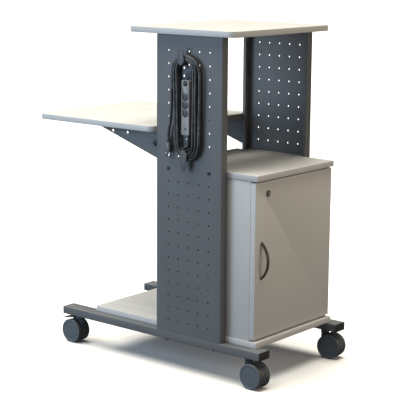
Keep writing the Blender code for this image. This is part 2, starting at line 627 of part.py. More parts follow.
def cord_hank():
    """The wound cord as one body: round ends, an open middle, a step on the left under which
    the last strand hangs free, and a step inside that the first strand comes down to."""
    middle = (HANK_LEFT + HANK_RIGHT) / 2
    radius = (HANK_RIGHT - HANK_LEFT) / 2
    step = HANK_LEFT + CORD_DIAMETER + 2 * GAP
    lower = radius - (step - HANK_LEFT)
    outline = arc((middle, HANK_TOP - radius), radius, 0, 180, 12)
    outline += [(HANK_LEFT, HANK_STEP_Z), (step, HANK_STEP_Z)]
    outline += arc((step + lower, HANK_BOTTOM + radius), lower, 180, 225, 4)
    outline += arc((middle, HANK_BOTTOM + radius), radius, 240, 360, 9)
    made = prism("cord_hank", outline, HANK_FRONT, WEB_FACE, "Y", CORD)

    left, right = HANK_LEFT + HANK_WALL_LEFT, HANK_RIGHT - HANK_WALL_RIGHT
    top, bottom = HANK_TOP - HANK_END_WALL, HANK_BOTTOM + HANK_END_WALL
    bend = 0.0025
    hollow = arc((right - bend, top - bend), bend, 0, 90, 3) + arc((left + bend, top - bend), bend, 90, 180, 3)
    hollow += [(left, bottom), (first_strand_x() - CORD_DIAMETER / 2 - GAP, bottom)]
    hollow += [(first_strand_x() - CORD_DIAMETER / 2 - GAP, FIRST_STRAND_Z), (right, FIRST_STRAND_Z)]
    cut(made, prism("hank_hollow", hollow, HANK_FRONT - 0.01, WEB_FACE + 0.01, "Y"))


FIRST_STRAND_Z = HANK_BOTTOM + HANK_END_WALL + 0.004


def first_strand_x():
    return HANK_RIGHT - HANK_WALL_RIGHT - CORD_DIAMETER / 2 - GAP


def power_strip():
    half = STRIP_WIDTH / 2
    front = WEB_FACE - STRIP_DEPTH
    top = STRIP_BOTTOM + STRIP_LENGTH
    housing = prism("strip_housing", rounded(-half, half, STRIP_BOTTOM, top, 0.004, 3),
                    front, WEB_FACE, "Y", STRIP_GREY)
    button_z = top - 0.009
    well = BUTTON_RADIUS + 2 * GAP
    drill = turned("button_well", [(0, -0.01), (well, -0.01), (well, 0.007), (0, 0.007)], 16, "Y")
    cut(housing, moved_to(drill, (0, front, button_z)))
    turned_button = turned("reset_button", [(0, -0.002), (BUTTON_RADIUS, -0.002), (BUTTON_RADIUS, 0.005),
                                            (0, 0.005)], 16, "Y", BLACK)
    moved_to(turned_button, (0, front, button_z))

    relief_top = STRIP_BOTTOM - GAP
    relief = turned("strip_strain_relief",
                    [(0, 0), (0.0058, 0), (0.0058, -0.003), (0.0050, -RELIEF_LENGTH), (0, -RELIEF_LENGTH)],
                    12, "Z", CORD)
    moved_to(relief, (CORD_EXIT_X, CORD_Y, relief_top))

    exit_z = relief_top - RELIEF_LENGTH - GAP
    end_x, end_z = first_strand_x(), FIRST_STRAND_Z + GAP
    fall = exit_z - end_z
    route = [(CORD_EXIT_X, CORD_Y, exit_z), (CORD_EXIT_X, CORD_Y, exit_z - fall * 0.2),
             ((CORD_EXIT_X + end_x) / 2, CORD_Y, exit_z - fall / 2),
             (end_x, CORD_Y, end_z + fall * 0.2), (end_x, CORD_Y, end_z)]
    tube("cord_first_strand", route, CORD_DIAMETER, 3, CORD)


def plug():
    """Cord's free end: it hangs beside the winding with its blades down."""
    body_top = PLUG_Z + 0.014
    start_x = HANK_LEFT + CORD_DIAMETER / 2 + GAP
    start_z = HANK_STEP_Z - GAP
    neck_top = body_top + 0.016
    route = [(start_x, CORD_Y, start_z), (start_x, CORD_Y, start_z - 0.020),
             (start_x - 0.003, CORD_Y, start_z - 0.045), (PLUG_X, CORD_Y, neck_top + 0.022),
             (PLUG_X, CORD_Y, neck_top + 0.008), (PLUG_X, CORD_Y, neck_top + GAP)]
    tube("cord_last_strand", route, CORD_DIAMETER, 3, CORD)

    made = prism("power_plug", rounded(PLUG_X - 0.011, PLUG_X + 0.011, PLUG_Z - 0.014, body_top, 0.004, 3),
                 CORD_Y - 0.0085, CORD_Y + 0.0085, "Y", CORD)
    neck = turned("plug_neck", [(0, 0), (0.0055, 0), (0.0072, -0.017), (0, -0.017)], 12)
    join(made, moved_to(neck, (PLUG_X, CORD_Y, neck_top)))
    for x in (-0.0063, 0.0063):
        join(made, box(f"blade_{x:+.4f}", (PLUG_X + x - 0.0008, CORD_Y - 0.0045, PLUG_Z - 0.030),
                       (PLUG_X + x + 0.0008, CORD_Y + 0.0018, PLUG_Z - 0.010)))


# ---- Casters ----
def caster(side, end, braked):
    """Twin-wheel caster. In its own frame the stem is the Z axis and the wheels trail on +X."""
    sign = -1 if side == "near" else 1
    name = f"{side}_{end}"
    pivot = bpy.data.objects.new(f"{name}_swivel", None)
    bpy.context.scene.collection.objects.link(pivot)
    pivot.location = (STEM_X[end], sign * RAIL_MIDDLE_Y, 0)
    turn = PARKED_TURN.get(name, 0.0)
    pivot.rotation_euler.z = turn + (pi if end == "left" else 0.0)

    collar_low = RAIL_BOTTOM - GAP - STEM_COLLAR
    neck_top = collar_low - GAP
    neck_low = neck_top - NECK_HEIGHT
    stem_low = neck_low + 0.003
    bore = STEM_RADIUS + 2 * GAP
    stem = turned(f"{name}_caster_stem",
                  [(0, stem_low), (STEM_RADIUS, stem_low), (STEM_RADIUS, collar_low), (0.011, collar_low),
                   (0.011, collar_low + STEM_COLLAR), (STEM_RADIUS, collar_low + STEM_COLLAR),
                   (STEM_RADIUS, RAIL_TOP - RAIL_WALL - 0.004), (0, RAIL_TOP - RAIL_WALL - 0.004)],
                  12, "Z", BRIGHT)
    moved_to(stem, (STEM_X[end], sign * RAIL_MIDDLE_Y, 0))

    rim = WHEEL_RADIUS - HOOD_UNDER_TREAD
    outline = arc((CASTER_TRAIL, AXLE_Z), rim, -28, 108, 12)
    outline += [(NECK_RADIUS - 0.002, neck_low + 0.002), (-NECK_RADIUS + 0.002, neck_low + 0.002),
                (-NECK_RADIUS + 0.002, neck_low - 0.004)]
    outline += arc((CASTER_TRAIL, AXLE_Z), rim, 160, 212, 5) + [(CASTER_TRAIL, AXLE_Z - 0.012)]
    hood = prism(f"{name}_caster_hood", outline, -HOOD_WIDTH / 2, HOOD_WIDTH / 2, "Y", WHEEL)
    hood.parent = pivot
    join(hood, turned(f"{name}_neck", [(0, neck_low), (NECK_RADIUS, neck_low), (NECK_RADIUS, neck_top),
                                       (0, neck_top)], 16))
    cut(hood, turned(f"{name}_stem_bore", [(0, stem_low - 3 * GAP), (bore, stem_low - 3 * GAP),
                                           (bore, neck_top + 0.01), (0, neck_top + 0.01)], 12))
    axle_bore = AXLE_RADIUS + 2 * GAP
    cut(hood, moved_to(turned(f"{name}_axle_bore", [(0, -HOOD_WIDTH), (axle_bore, -HOOD_WIDTH),
                                                    (axle_bore, HOOD_WIDTH), (0, HOOD_WIDTH)], 12, "Y"),
                       (CASTER_TRAIL, 0, AXLE_Z)))
    if braked:
        brake_pedal(name, pivot, hood)

    inner = CASTER_WIDTH / 2 - WHEEL_WIDTH
    reach = inner + WHEEL_WIDTH - 0.006
    axle = turned(f"{name}_axle", [(0, -reach), (AXLE_RADIUS, -reach), (AXLE_RADIUS, reach), (0, reach)],
                  12, "Y", BRIGHT)
    axle.parent = pivot
    moved_to(axle, (CASTER_TRAIL, 0, AXLE_Z))
    # Which wheel is outermost depends on which way the caster points.
    for way in (-1, 1):
        facing = way if end == "right" else -way
        place = "outer" if facing == sign else "inner"
        outer_face, inner_face, blind = way * CASTER_WIDTH / 2, way * inner, way * (reach + 2 * GAP)
        wheel = turned(f"{name}_{place}_wheel",
                       [(0, outer_face), (WHEEL_RADIUS - 0.0035, outer_face),
                        (WHEEL_RADIUS - 0.001, outer_face - way * 0.0012),
                        (WHEEL_RADIUS, outer_face - way * 0.0035), (WHEEL_RADIUS, inner_face),
                        (axle_bore, inner_face), (axle_bore, blind), (0, blind)],
                       WHEEL_SIDES, "Y", WHEEL)
        wheel.parent = pivot
        moved_to(wheel, (CASTER_TRAIL, 0, AXLE_Z))


def brake_pedal(name, pivot, hood):
    """Foot pedal on two ears of the hood, over the tread of the wheels."""
    pin = (CASTER_TRAIL - 0.0065, AXLE_Z + WHEEL_RADIUS + 0.0040)
    ear_half = HOOD_WIDTH / 2 - GAP
    slot = 0.003
    for way in (-1, 1):
        a, b = sorted((way * slot, way * ear_half))
        ear = [(pin[0] - 0.0030, pin[1] - 0.012), (pin[0] + 0.0030, pin[1] - 0.012),
               *arc(pin, 0.0030, 0, 180, 5)]
        join(hood, prism(f"{name}_ear_{way}", ear, a, b, "Y"))
    tread = AXLE_Z + WHEEL_RADIUS
    hub = prism(f"{name}_brake_pedal",
                [*arc(pin, 0.0025, 90, 270, 6), (pin[0] + 0.012, tread + 0.0022), (pin[0] + 0.012, tread + 0.0052)],
                -slot + GAP, slot - GAP, "Y", BLACK)
    hub.parent = pivot
    start = pin[0] + 0.005
    tip = CASTER_TRAIL + WHEEL_RADIUS + 0.0035
    plate = [(start, tread + 0.0028), (start + 0.010, tread + 0.0022), (tip, tread - 0.0045),
             (tip + 0.001, tread - 0.0030), (tip - 0.001, tread - 0.0012),
             (start + 0.012, tread + 0.0050), (start, tread + 0.0056)]
    join(hub, prism(f"{name}_pedal_plate", plate, -PEDAL_WIDTH / 2, PEDAL_WIDTH / 2, "Y"))
    with_origin(hub, (pin[0], 0, pin[1]))


# ---- The stand ----
top_shelf()
side_shelf()
bottom_board()
cabinet_top()
cabinet_panels()
door()
hinge("upper", DOOR_TOP - HINGE_INSET)
hinge("lower", DOOR_BOTTOM + HINGE_INSET)
handle()
lock()
for side, sign in (("near", -1), ("far", 1)):
    column(side, sign)
    top_angle(side, sign)
    rail(side, sign)
    shelf_bracket(side, sign)
    for end in ("left", "right"):
        caster(side, end, braked=end == "left")
cleat("upper_cord_cleat", UPPER_CLEAT_X, HANK_TOP - HANK_END_WALL - GAP, UPPER_TONGUE, 1)
cleat("lower_cord_cleat", LOWER_CLEAT_X, HANK_BOTTOM + HANK_END_WALL + GAP, LOWER_TONGUE, -1)
cord_hank()
power_strip()
plug()

# The origin is under the middle of the stand's length, from the side shelf's end to the right wheels.
wheel_right = STEM_X["right"] + CASTER_TRAIL + WHEEL_RADIUS
middle_x = (min(SIDE_SHELF_LEFT, RAIL_LEFT) + max(wheel_right, RAIL_RIGHT)) / 2
for made in bpy.data.objects:
    if made.parent is None:
        made.location.x -= middle_x
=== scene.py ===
from math import cos, pi, radians, sin

import bmesh
import bpy
from mathutils import Euler, Matrix, Vector


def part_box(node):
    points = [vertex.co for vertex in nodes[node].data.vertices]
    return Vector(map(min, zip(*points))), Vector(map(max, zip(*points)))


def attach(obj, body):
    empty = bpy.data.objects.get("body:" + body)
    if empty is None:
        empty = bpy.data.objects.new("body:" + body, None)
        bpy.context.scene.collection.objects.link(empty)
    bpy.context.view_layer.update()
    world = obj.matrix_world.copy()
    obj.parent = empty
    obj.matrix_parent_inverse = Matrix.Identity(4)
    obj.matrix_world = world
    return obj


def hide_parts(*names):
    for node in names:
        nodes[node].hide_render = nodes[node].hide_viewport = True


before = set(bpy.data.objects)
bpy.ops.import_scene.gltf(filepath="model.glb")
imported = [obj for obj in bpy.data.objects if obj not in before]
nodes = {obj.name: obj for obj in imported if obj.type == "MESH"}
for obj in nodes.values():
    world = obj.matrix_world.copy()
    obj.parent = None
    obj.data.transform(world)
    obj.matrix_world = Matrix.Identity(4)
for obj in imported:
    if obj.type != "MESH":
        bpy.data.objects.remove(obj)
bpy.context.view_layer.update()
print("frame loaded:", len(nodes), "nodes")

# holes, cord and fasteners are placed from the near column
columnLow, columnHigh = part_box("near_column")
columnX = (columnLow.x + columnHigh.x) / 2
columnHalfDepth = (columnHigh.y - columnLow.y) / 2
webY = -columnLow.y                 # outer face of either column
gap = 0.0003                        # clearance between pieces that touch
mend = {"merge": 0.00002, "flat": 0.6}      # metres and degrees, for clean copies of CAD meshes
near = 1e-4                         # closer than this counts as the same place
turns = {"X": (0, pi / 2, 0), "Y": (pi / 2, 0, 0), "Z": (0, 0, 0)}


def clearSelection():
    if bpy.context.mode != "OBJECT":
        bpy.ops.object.mode_set(mode="OBJECT")
    for other in list(bpy.context.selected_objects):
        other.select_set(False)


def choose(piece):
    clearSelection()
    piece.select_set(True)
    bpy.context.view_layer.objects.active = piece


def named(piece, name):
    piece.name = name
    piece.data.name = name
    return piece


def settle(piece):
    choose(piece)
    bpy.ops.object.transform_apply(location=True, rotation=True, scale=True)
    return piece


def block(name, low, high):
    clearSelection()
    low, high = Vector(low), Vector(high)
    bpy.ops.mesh.primitive_cube_add(size=1, location=(low + high) / 2)
    piece = named(bpy.context.object, name)
    piece.scale = high - low
    return settle(piece)


def rod(name, centre, radius, depth, axis, sides=32, tip=None):
    clearSelection()
    bpy.ops.mesh.primitive_cone_add(vertices=sides, radius1=radius, radius2=radius if tip is None else tip,
                                    depth=depth, location=centre, rotation=turns[axis])
    return settle(named(bpy.context.object, name))


def pick(piece, kind, test):
    # selects faces, edges or verts in edit mode, by a test on their middle and their direction
    choose(piece)
    bpy.ops.object.mode_set(mode="EDIT")
    bpy.ops.mesh.select_mode(type={"faces": "FACE", "edges": "EDGE", "verts": "VERT"}[kind])
    bpy.ops.mesh.select_all(action="DESELECT")
    form = bmesh.from_edit_mesh(piece.data)
    for item in getattr(form, kind):
        if kind == "faces":
            hit = test(item.calc_center_median(), item.normal)
        elif kind == "edges":
            a, b = item.verts[0].co, item.verts[1].co
            hit = test((a + b) / 2, (b - a).normalized())
        else:
            hit = test(item.co, item.normal)
        if hit:
            item.select = True
    form.select_flush_mode()
    bmesh.update_edit_mesh(piece.data)


def leave(piece):
    bpy.ops.object.mode_set(mode="OBJECT")
    return piece


def rounded(piece, kind, test, width, steps):
    # bevels only the edges that are picked, or that border the picked faces
    pick(piece, kind, test)
    bpy.ops.mesh.bevel(offset=width, segments=steps, affect="EDGES")
    return leave(piece)


def smooth(piece, angle=34):
    choose(piece)
    bpy.ops.object.shade_smooth_by_angle(angle=radians(angle))
    return piece


def applied(piece, kind, **settings):
    choose(piece)
    change = piece.modifiers.new("finish", kind)
    for key, value in settings.items():
        setattr(change, key, value)
    bpy.ops.object.modifier_apply(modifier=change.name)
    return piece


def softened(piece, width, steps=2, angle=30):
    applied(piece, "BEVEL", width=width, segments=steps, limit_method="ANGLE", angle_limit=radians(angle),
            use_clamp_overlap=True, miter_outer="MITER_ARC")
    return smooth(piece)


def repeated(piece, count, step):
    return applied(piece, "ARRAY", count=count, use_relative_offset=False, use_constant_offset=True,
                   constant_offset_displace=step)


def cutBy(piece, *tools):
    for tool in tools:
        applied(piece, "BOOLEAN", operation="DIFFERENCE", object=tool, solver="EXACT")
        bpy.data.objects.remove(tool, do_unlink=True)
    return piece


def joined(piece, *others):
    choose(piece)
    for other in others:
        other.select_set(True)
    bpy.ops.object.join()
    return piece


def twin(piece, name):
    # a copy with its own mesh
    made = piece.copy()
    made.data = piece.data.copy()
    bpy.context.scene.collection.objects.link(made)
    return named(made, name)


def mirroredY(piece, name):
    made = twin(piece, name)
    made.scale = (1, -1, 1)
    settle(made)
    bpy.ops.object.mode_set(mode="EDIT")
    bpy.ops.mesh.select_all(action="SELECT")
    bpy.ops.mesh.normals_make_consistent(inside=False)
    return leave(made)


def fromNode(node, name):
    # a clean copy of a CAD node's mesh, to round off and detail
    made = twin(nodes[node], name)
    made.parent = None
    for key in list(made.keys()):
        del made[key]
    made.data.materials.clear()
    choose(made)
    bpy.ops.object.mode_set(mode="EDIT")
    bpy.ops.mesh.select_all(action="SELECT")
    bpy.ops.mesh.remove_doubles(threshold=mend["merge"])
    bpy.ops.mesh.dissolve_limited(angle_limit=radians(mend["flat"]))
    bpy.ops.mesh.normals_make_consistent(inside=False)
    return leave(made)


def turnedPiece(piece, place, angle):
    # turns a settled piece about the vertical line through a place
    piece.data.transform(Matrix.Translation(Vector(place)) @ Matrix.Rotation(angle, 4, "Z")
                         @ Matrix.Translation(-Vector(place)))
    return piece


def dress(piece, look, body, replaced=()):
    piece.data.materials.clear()
    piece.data.materials.append(look)
    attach(piece, body)
    if replaced:
        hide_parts(*replaced)
    return piece


class Flow:
    # a socket that can be added, multiplied, compared and mixed like a number
    def __init__(self, tree, socket):
        self.tree, self.socket = tree, socket

    def node(self, kind, settings=None, values=None, out=0):
        made = self.tree.nodes.new(kind)
        for key, value in (settings or {}).items():
            if key == "stops":
                for stop, (place, shade) in zip(made.color_ramp.elements, value):
                    stop.position = place
                    stop.color = (shade, shade, shade, 1)
            else:
                setattr(made, key, value)
        for key, value in (values or {}).items():
            if isinstance(value, Flow):
                self.tree.links.new(value.socket, made.inputs[key])
            else:
                made.inputs[key].default_value = value
        return Flow(self.tree, made.outputs[out])

    def maths(self, operation, first, second):
        return self.node("ShaderNodeMath", {"operation": operation}, {0: first, 1: second})

    def __add__(self, other):
        return self.maths("ADD", self, other)

    def __radd__(self, other):
        return self.maths("ADD", other, self)

    def __sub__(self, other):
        return self.maths("SUBTRACT", self, other)

    def __rsub__(self, other):
        return self.maths("SUBTRACT", other, self)

    def __mul__(self, other):
        return self.maths("MULTIPLY", self, other)

    def __rmul__(self, other):
        return self.maths("MULTIPLY", other, self)

    def __gt__(self, other):
        return self.maths("GREATER_THAN", self, other)

    def mixed(self, first, second):
        # first colour where this is 0, second where it is 1; either may be a Flow
        pair = [colour if isinstance(colour, Flow) else (*colour, 1) for colour in (first, second)]
        return self.node("ShaderNodeMix", {"data_type": "RGBA", "clamp_factor": True},
                         {0: self, 6: pair[0], 7: pair[1]}, out=2)

    def spread(self, low, high):
        # 0 up to low, 1 from high
        return self.node("ShaderNodeValToRGB", {"stops": ((low, 0.0), (high, 1.0))}, {0: self})


class Finish:
    # one material, with its pattern coordinates and its shader
    def __init__(self, name, specular=0.5, metallic=0.0):
        self.material = bpy.data.materials.new(name)
        self.material.use_nodes = True
        self.tree = self.material.node_tree
        self.shader = self.tree.nodes["Principled BSDF"]
        self.shader.inputs["Specular IOR Level"].default_value = specular
        self.shader.inputs["Metallic"].default_value = metallic
        start = Flow(self.tree, None)
        self.point = start.node("ShaderNodeTexCoord", out="Object")
        self.normal = start.node("ShaderNodeTexCoord", out="Normal")

    def stretched(self, scale):
        return self.point.node("ShaderNodeMapping", None, {"Vector": self.point, "Scale": scale})

    def noise(self, scale, detail, rough=0.55, distortion=0.0, vector=None):
        return self.point.node("ShaderNodeTexNoise", None,
                               {"Vector": vector or self.point, "Scale": scale, "Detail": detail,
                                "Roughness": rough, "Distortion": distortion})

    def facing(self, axis):
        # 1 where the surface looks along the axis either way, 0 where it lies along it
        part = self.normal.node("ShaderNodeSeparateXYZ", None, {0: self.normal}, out=axis)
        return part * part

    def wire(self, colour, roughness, height=None, strength=0.2, distance=0.0002):
        for value, key in ((colour, "Base Color"), (roughness, "Roughness")):
            if isinstance(value, Flow):
                self.tree.links.new(value.socket, self.shader.inputs[key])
            else:
                self.shader.inputs[key].default_value = value
        if height is not None:
            bump = height.node("ShaderNodeBump", None,
                               {"Height": height, "Strength": strength, "Distance": distance})
            self.tree.links.new(bump.socket, self.shader.inputs["Normal"])
        return self.material


laminateLook = {"face": (0.60, 0.595, 0.58), "streak": (0.50, 0.495, 0.475), "band": (0.57, 0.57, 0.57),
                "lengthScale": 1.3, "crossScale": 46.0, "roughness": 0.39}


def makeLaminate(name, along, up="Z", contrast=1.0):
    # printed wood grain on the two broad faces, plain banding round the edges
    look = laminateLook
    finish = Finish(name, specular=0.45)

    def grainNoise(lengthShare, crossShare, **settings):
        scale = [look["lengthScale"] * lengthShare if axis == along else look["crossScale"] * crossShare
                 for axis in "XYZ"]
        return finish.noise(1.0, vector=finish.stretched(scale), **settings)

    lines = grainNoise(1, 1, detail=5.0, rough=0.62, distortion=0.35)
    broad = grainNoise(0.22, 0.22, detail=3.0, rough=0.5, distortion=0.8)
    fleck = grainNoise(9, 5, detail=2.0)
    grain = (lines * 0.62 + broad * 0.3 + fleck * 0.08).spread(0.36, 0.64)
    printed = (grain * contrast).mixed(look["face"], look["streak"])
    colour = (finish.facing(up) > 0.6).mixed(look["band"], printed)
    mottle = finish.noise(900, detail=2.0)
    roughness = 0.06 * mottle + look["roughness"] + 0.05 * grain
    return finish.wire(colour, roughness, lines * 0.6 + mottle * 0.4, strength=0.12, distance=0.0002)


powderLook = {"colour": (0.120, 0.125, 0.133), "pale": (0.139, 0.145, 0.153), "roughness": 0.45}


def makePowder(name):
    # baked powder coat: orange peel, a slightly uneven colour and fine sparkle
    look = powderLook
    finish = Finish(name, metallic=0.12)
    cloud = finish.noise(7.0, detail=3.0)
    peel = finish.noise(620.0, detail=2.0, rough=0.5)
    grit = finish.noise(2600.0, detail=1.0)
    colour = (cloud * 0.7 + grit * 0.3).spread(0.35, 0.68).mixed(look["colour"], look["pale"])
    roughness = look["roughness"] + 0.1 * cloud + 0.06 * grit
    return finish.wire(colour, roughness, peel * 0.75 + grit * 0.25, strength=0.22, distance=0.00025)


def makePlastic(name, colour, pale, roughness=0.42, grain=1500.0, strength=0.2):
    # moulded plastic with a fine sparked texture
    finish = Finish(name)
    cloud = finish.noise(22.0, detail=2.0)
    spark = finish.noise(grain, detail=2.0, rough=0.6)
    tone = (cloud * 0.6 + spark * 0.4).spread(0.38, 0.62).mixed(colour, pale)
    return finish.wire(tone, roughness - 0.06 + 0.12 * spark, spark, strength, distance=0.0001)


wheelLook = {"face": (0.098, 0.117, 0.138), "facePale": (0.112, 0.132, 0.154),
             "tread": (0.050, 0.054, 0.060), "dusty": (0.092, 0.092, 0.091), "treadRoughness": 0.62}


def makeWheel(name):
    # grey wheel plastic; the tread is rougher and carries floor dust
    look = wheelLook
    finish = Finish(name, specular=0.42)
    spark = finish.noise(1700.0, detail=2.0)
    dust = finish.noise(90.0, detail=4.0)
    disc = finish.facing("Y") > 0.35
    face = spark.mixed(look["face"], look["facePale"])
    tread = dust.spread(0.4, 0.75).mixed(look["tread"], look["dusty"])
    roughness = look["treadRoughness"] - 0.16 * disc + 0.08 * spark
    return finish.wire(disc.mixed(tread, face), roughness, spark + 0.6 * dust, strength=0.2, distance=0.0001)


def makeSteel(name, colour, roughness, drawn=True):
    # bright or bronzed metal: cloudy lustre, with faint drawing lines where it was drawn
    finish = Finish(name, metallic=1.0)
    cloud = finish.noise(130.0, detail=4.0, rough=0.6)
    if drawn:
        lines = finish.noise(1.0, detail=2.0, vector=finish.stretched((2400.0, 2400.0, 60.0)))
    else:
        lines = finish.noise(900.0, detail=2.0)
    dark = [part * 0.78 for part in colour]
    tone = cloud.spread(0.35, 0.65).mixed(dark, colour)
    return finish.wire(tone, roughness - 0.05 + 0.12 * lines + 0.06 * cloud, lines, strength=0.12,
                       distance=0.00008)


# scuffed is a paler black, partly for scuffs and partly painted highlight for the glints on the cord
jacketLook = {"colour": (0.042, 0.043, 0.045), "scuffedAndGlint": (0.120, 0.122, 0.127), "roughness": 0.24}


def makeCordJacket(name):
    # black jacket, paler in random patches: partly scuffs, partly painted highlight for the glints on the
    # turns
    look = jacketLook
    finish = Finish(name)
    scuffAndGlint = finish.noise(70.0, detail=4.0, rough=0.6)
    fine = finish.noise(2200.0, detail=2.0)
    colour = scuffAndGlint.spread(0.45, 0.75).mixed(look["colour"], look["scuffedAndGlint"])
    return finish.wire(colour, look["roughness"] + 0.14 * scuffAndGlint, fine * 0.6 + scuffAndGlint * 0.4, strength=0.18,
                       distance=0.0001)


looks = {
    "boardX": makeLaminate("laminateAlongX", "X"),
    "boardY": makeLaminate("laminateAlongY", "Y"),
    "panel": makeLaminate("laminatePanel", "Z", up="Y", contrast=0.2),
    "door": makeLaminate("laminateDoor", "Z", up="X", contrast=0.16),
    "steel": makePowder("powderCoat"),
    "wheel": makeWheel("wheelPlastic"),
    "hood": makePlastic("hoodPlastic", (0.060, 0.067, 0.078), (0.073, 0.081, 0.094)),
    "black": makePlastic("blackPlastic", (0.017, 0.018, 0.019), (0.026, 0.027, 0.028)),
    "cleat": makePlastic("cleatPlastic", (0.060, 0.061, 0.066), (0.078, 0.079, 0.085), 0.45),
    "strip": makePlastic("stripPlastic", (0.25, 0.247, 0.242), (0.29, 0.287, 0.282), 0.4),
    "outlet": makePlastic("outletPlastic", (0.090, 0.091, 0.093), (0.105, 0.106, 0.108), 0.36),
    # near-black, for the painted shade seen through the outlet slots
    "slot": makePlastic("slotPaintedShade", (0.006, 0.006, 0.006), (0.010, 0.010, 0.010), 0.6),
    "cord": makeCordJacket("cordJacket"),
    "zinc": makeSteel("zincSteel", (0.62, 0.62, 0.63), 0.32),
    "screw": makeSteel("screwSteel", (0.78, 0.77, 0.75), 0.24, drawn=False),
    "bronze": makeSteel("handleBronze", (0.155, 0.130, 0.110), 0.34),
    "bolt": makePlastic("boltBlack", (0.012, 0.012, 0.013), (0.020, 0.020, 0.021), 0.34, 2600.0, 0.1),
}
print("finishes made:", len(looks))

# angles in degrees, lens and sensor in millimetres
cameraAt = {"place": (2.6231, -3.1477, 1.2522), "azimuth": 39.491, "elevation": 10.784, "roll": 0.399,
            "lens": 121.13, "sensor": 36, "clip": (0.1, 50)}


def makeCamera():
    data = bpy.data.cameras.new("camera")
    data.lens, data.sensor_width = cameraAt["lens"], cameraAt["sensor"]
    data.clip_start, data.clip_end = cameraAt["clip"]
    camera = bpy.data.objects.new("camera", data)
    bpy.context.scene.collection.objects.link(camera)
    facing = Euler((pi / 2 - radians(cameraAt["elevation"]), 0, radians(cameraAt["azimuth"]))).to_matrix()
    facing = facing @ Matrix.Rotation(radians(cameraAt["roll"]), 3, "Z")
    camera.matrix_world = Matrix.Translation(cameraAt["place"]) @ facing.to_4x4()
    bpy.context.scene.camera = camera


makeCamera()

# x is measured from the column's middle; left, right, top and bottom are the first turn's place, and what
# each further turn adds to it
cord = {"diameter": 0.0085, "length": 3.87, "turns": 5.64, "firstTurn": 0.055, "pointsPerTurn": 30,
        "left": (-0.0302, -0.0041), "right": (0.0193, 0.0056), "top": (0.9262, 0.0024),
        "bottom": (0.6598, -0.0036), "back": -0.2219, "front": -0.2311,
        "slack": 0.0026, "slackWave": (4.7, 1.1), "lean": 0.011, "spacing": 0.009,
        "exit": (0.0085, -0.22665, 0.6924),
        "head": [(0.0085, -0.22665, 0.6879), (0.0045, -0.2268, 0.6822), (-0.0045, -0.2268, 0.6780),
                 (-0.0130, -0.2262, 0.6722), (-0.0148, -0.2250, 0.6640), (-0.0085, -0.2235, 0.6588)],
        "tail": [(-0.0546, -0.2300, 0.778), (-0.0580, -0.2285, 0.752), (-0.0652, -0.2270, 0.726),
                 (-0.0680, -0.22665, 0.709), (-0.0680, -0.22665, 0.7027)]}


def windingPoint(t):
    # one place on the winding; whole numbers of t are at the lower cleat, and a quarter of a turn goes
    # to each of the two straight runs and to each of the two bends
    p = t % 1.0
    left, right = (cord[key][0] + cord[key][1] * t for key in ("left", "right"))
    top, bottom = (cord[key][0] + cord[key][1] * t for key in ("top", "bottom"))
    middle, radius = (left + right) / 2, (right - left) / 2
    straight = top - bottom - 2 * radius
    if p < 0.125 or p >= 0.875:
        angle = -pi / 2 + ((p + 0.5) % 1.0 - 0.5) / 0.25 * pi
        x, z = middle + radius * cos(angle), bottom + radius + radius * sin(angle)
    elif p < 0.375:
        x, z = right, bottom + radius + straight * (p - 0.125) / 0.25
    elif p < 0.625:
        angle = (p - 0.375) / 0.25 * pi
        x, z = middle + radius * cos(angle), top - radius + radius * sin(angle)
    else:
        x, z = left, top - radius - straight * (p - 0.625) / 0.25
    # the turns lie in two layers by turns, and change over at the lower cleat
    turn = int(t + 0.125)
    into = min(max((t + 0.125 - turn) / 0.25, 0.0), 1.0)
    ease = into * into * (3 - 2 * into)
    layers = (cord["back"], cord["front"])
    y = layers[(turn + 1) % 2] * (1 - ease) + layers[turn % 2] * ease
    pace, start = cord["slackWave"]
    slack = cord["slack"] * sin(pace * t + start) * sin(2 * pi * p) ** 2
    lean = cord["lean"] * (right - x) / (right - left) * (top - z) / (top - bottom)
    return Vector((x + slack + lean, y, z))


def smoothLine(route, spacing):
    # Catmull-Rom line through the route's points, read at the spacing
    padded = [2 * route[0] - route[1], *route, 2 * route[-1] - route[-2]]
    line = [route[0]]
    for a, b, c, d in zip(padded, padded[1:], padded[2:], padded[3:]):
        steps = max(1, round((c - b).length / spacing))
        for i in range(1, steps + 1):
            t = i / steps
            line.append(0.5 * (2 * b + (c - a) * t + (2 * a - 5 * b + 4 * c - d) * t * t
                               + (3 * b - a - 3 * c + d) * t ** 3))
    return line


def makeCord():
    wound = cord["turns"] - cord["firstTurn"]
    count = round(wound * cord["pointsPerTurn"])
    winding = [windingPoint(cord["firstTurn"] + wound * i / count) for i in range(count)]
    route = [Vector(cord["exit"]), *map(Vector, cord["head"]), *winding, *map(Vector, cord["tail"])]
    shift = Vector((columnX, 0, 0))
    line = [p + shift for p in smoothLine(route, cord["spacing"])]
    data = bpy.data.curves.new("powerCord", "CURVE")
    data.dimensions = "3D"
    data.bevel_depth = cord["diameter"] / 2
    data.bevel_resolution = 4
    data.use_fill_caps = True
    spline = data.splines.new("POLY")
    spline.points.add(len(line) - 1)
    for place, point in zip(spline.points, line):
        place.co = (*point, 1)
    spline.use_smooth = True
    piece = bpy.data.objects.new("powerCord", data)
    bpy.context.scene.collection.objects.link(piece)
    dress(piece, looks["cord"], "stand",
          ("cord_first_strand", "cord_hank", "cord_last_strand"))
    print("cord length", round(sum((b - a).length for a, b in zip(line, line[1:])), 3))
    return piece, Vector(cord["exit"]) + shift


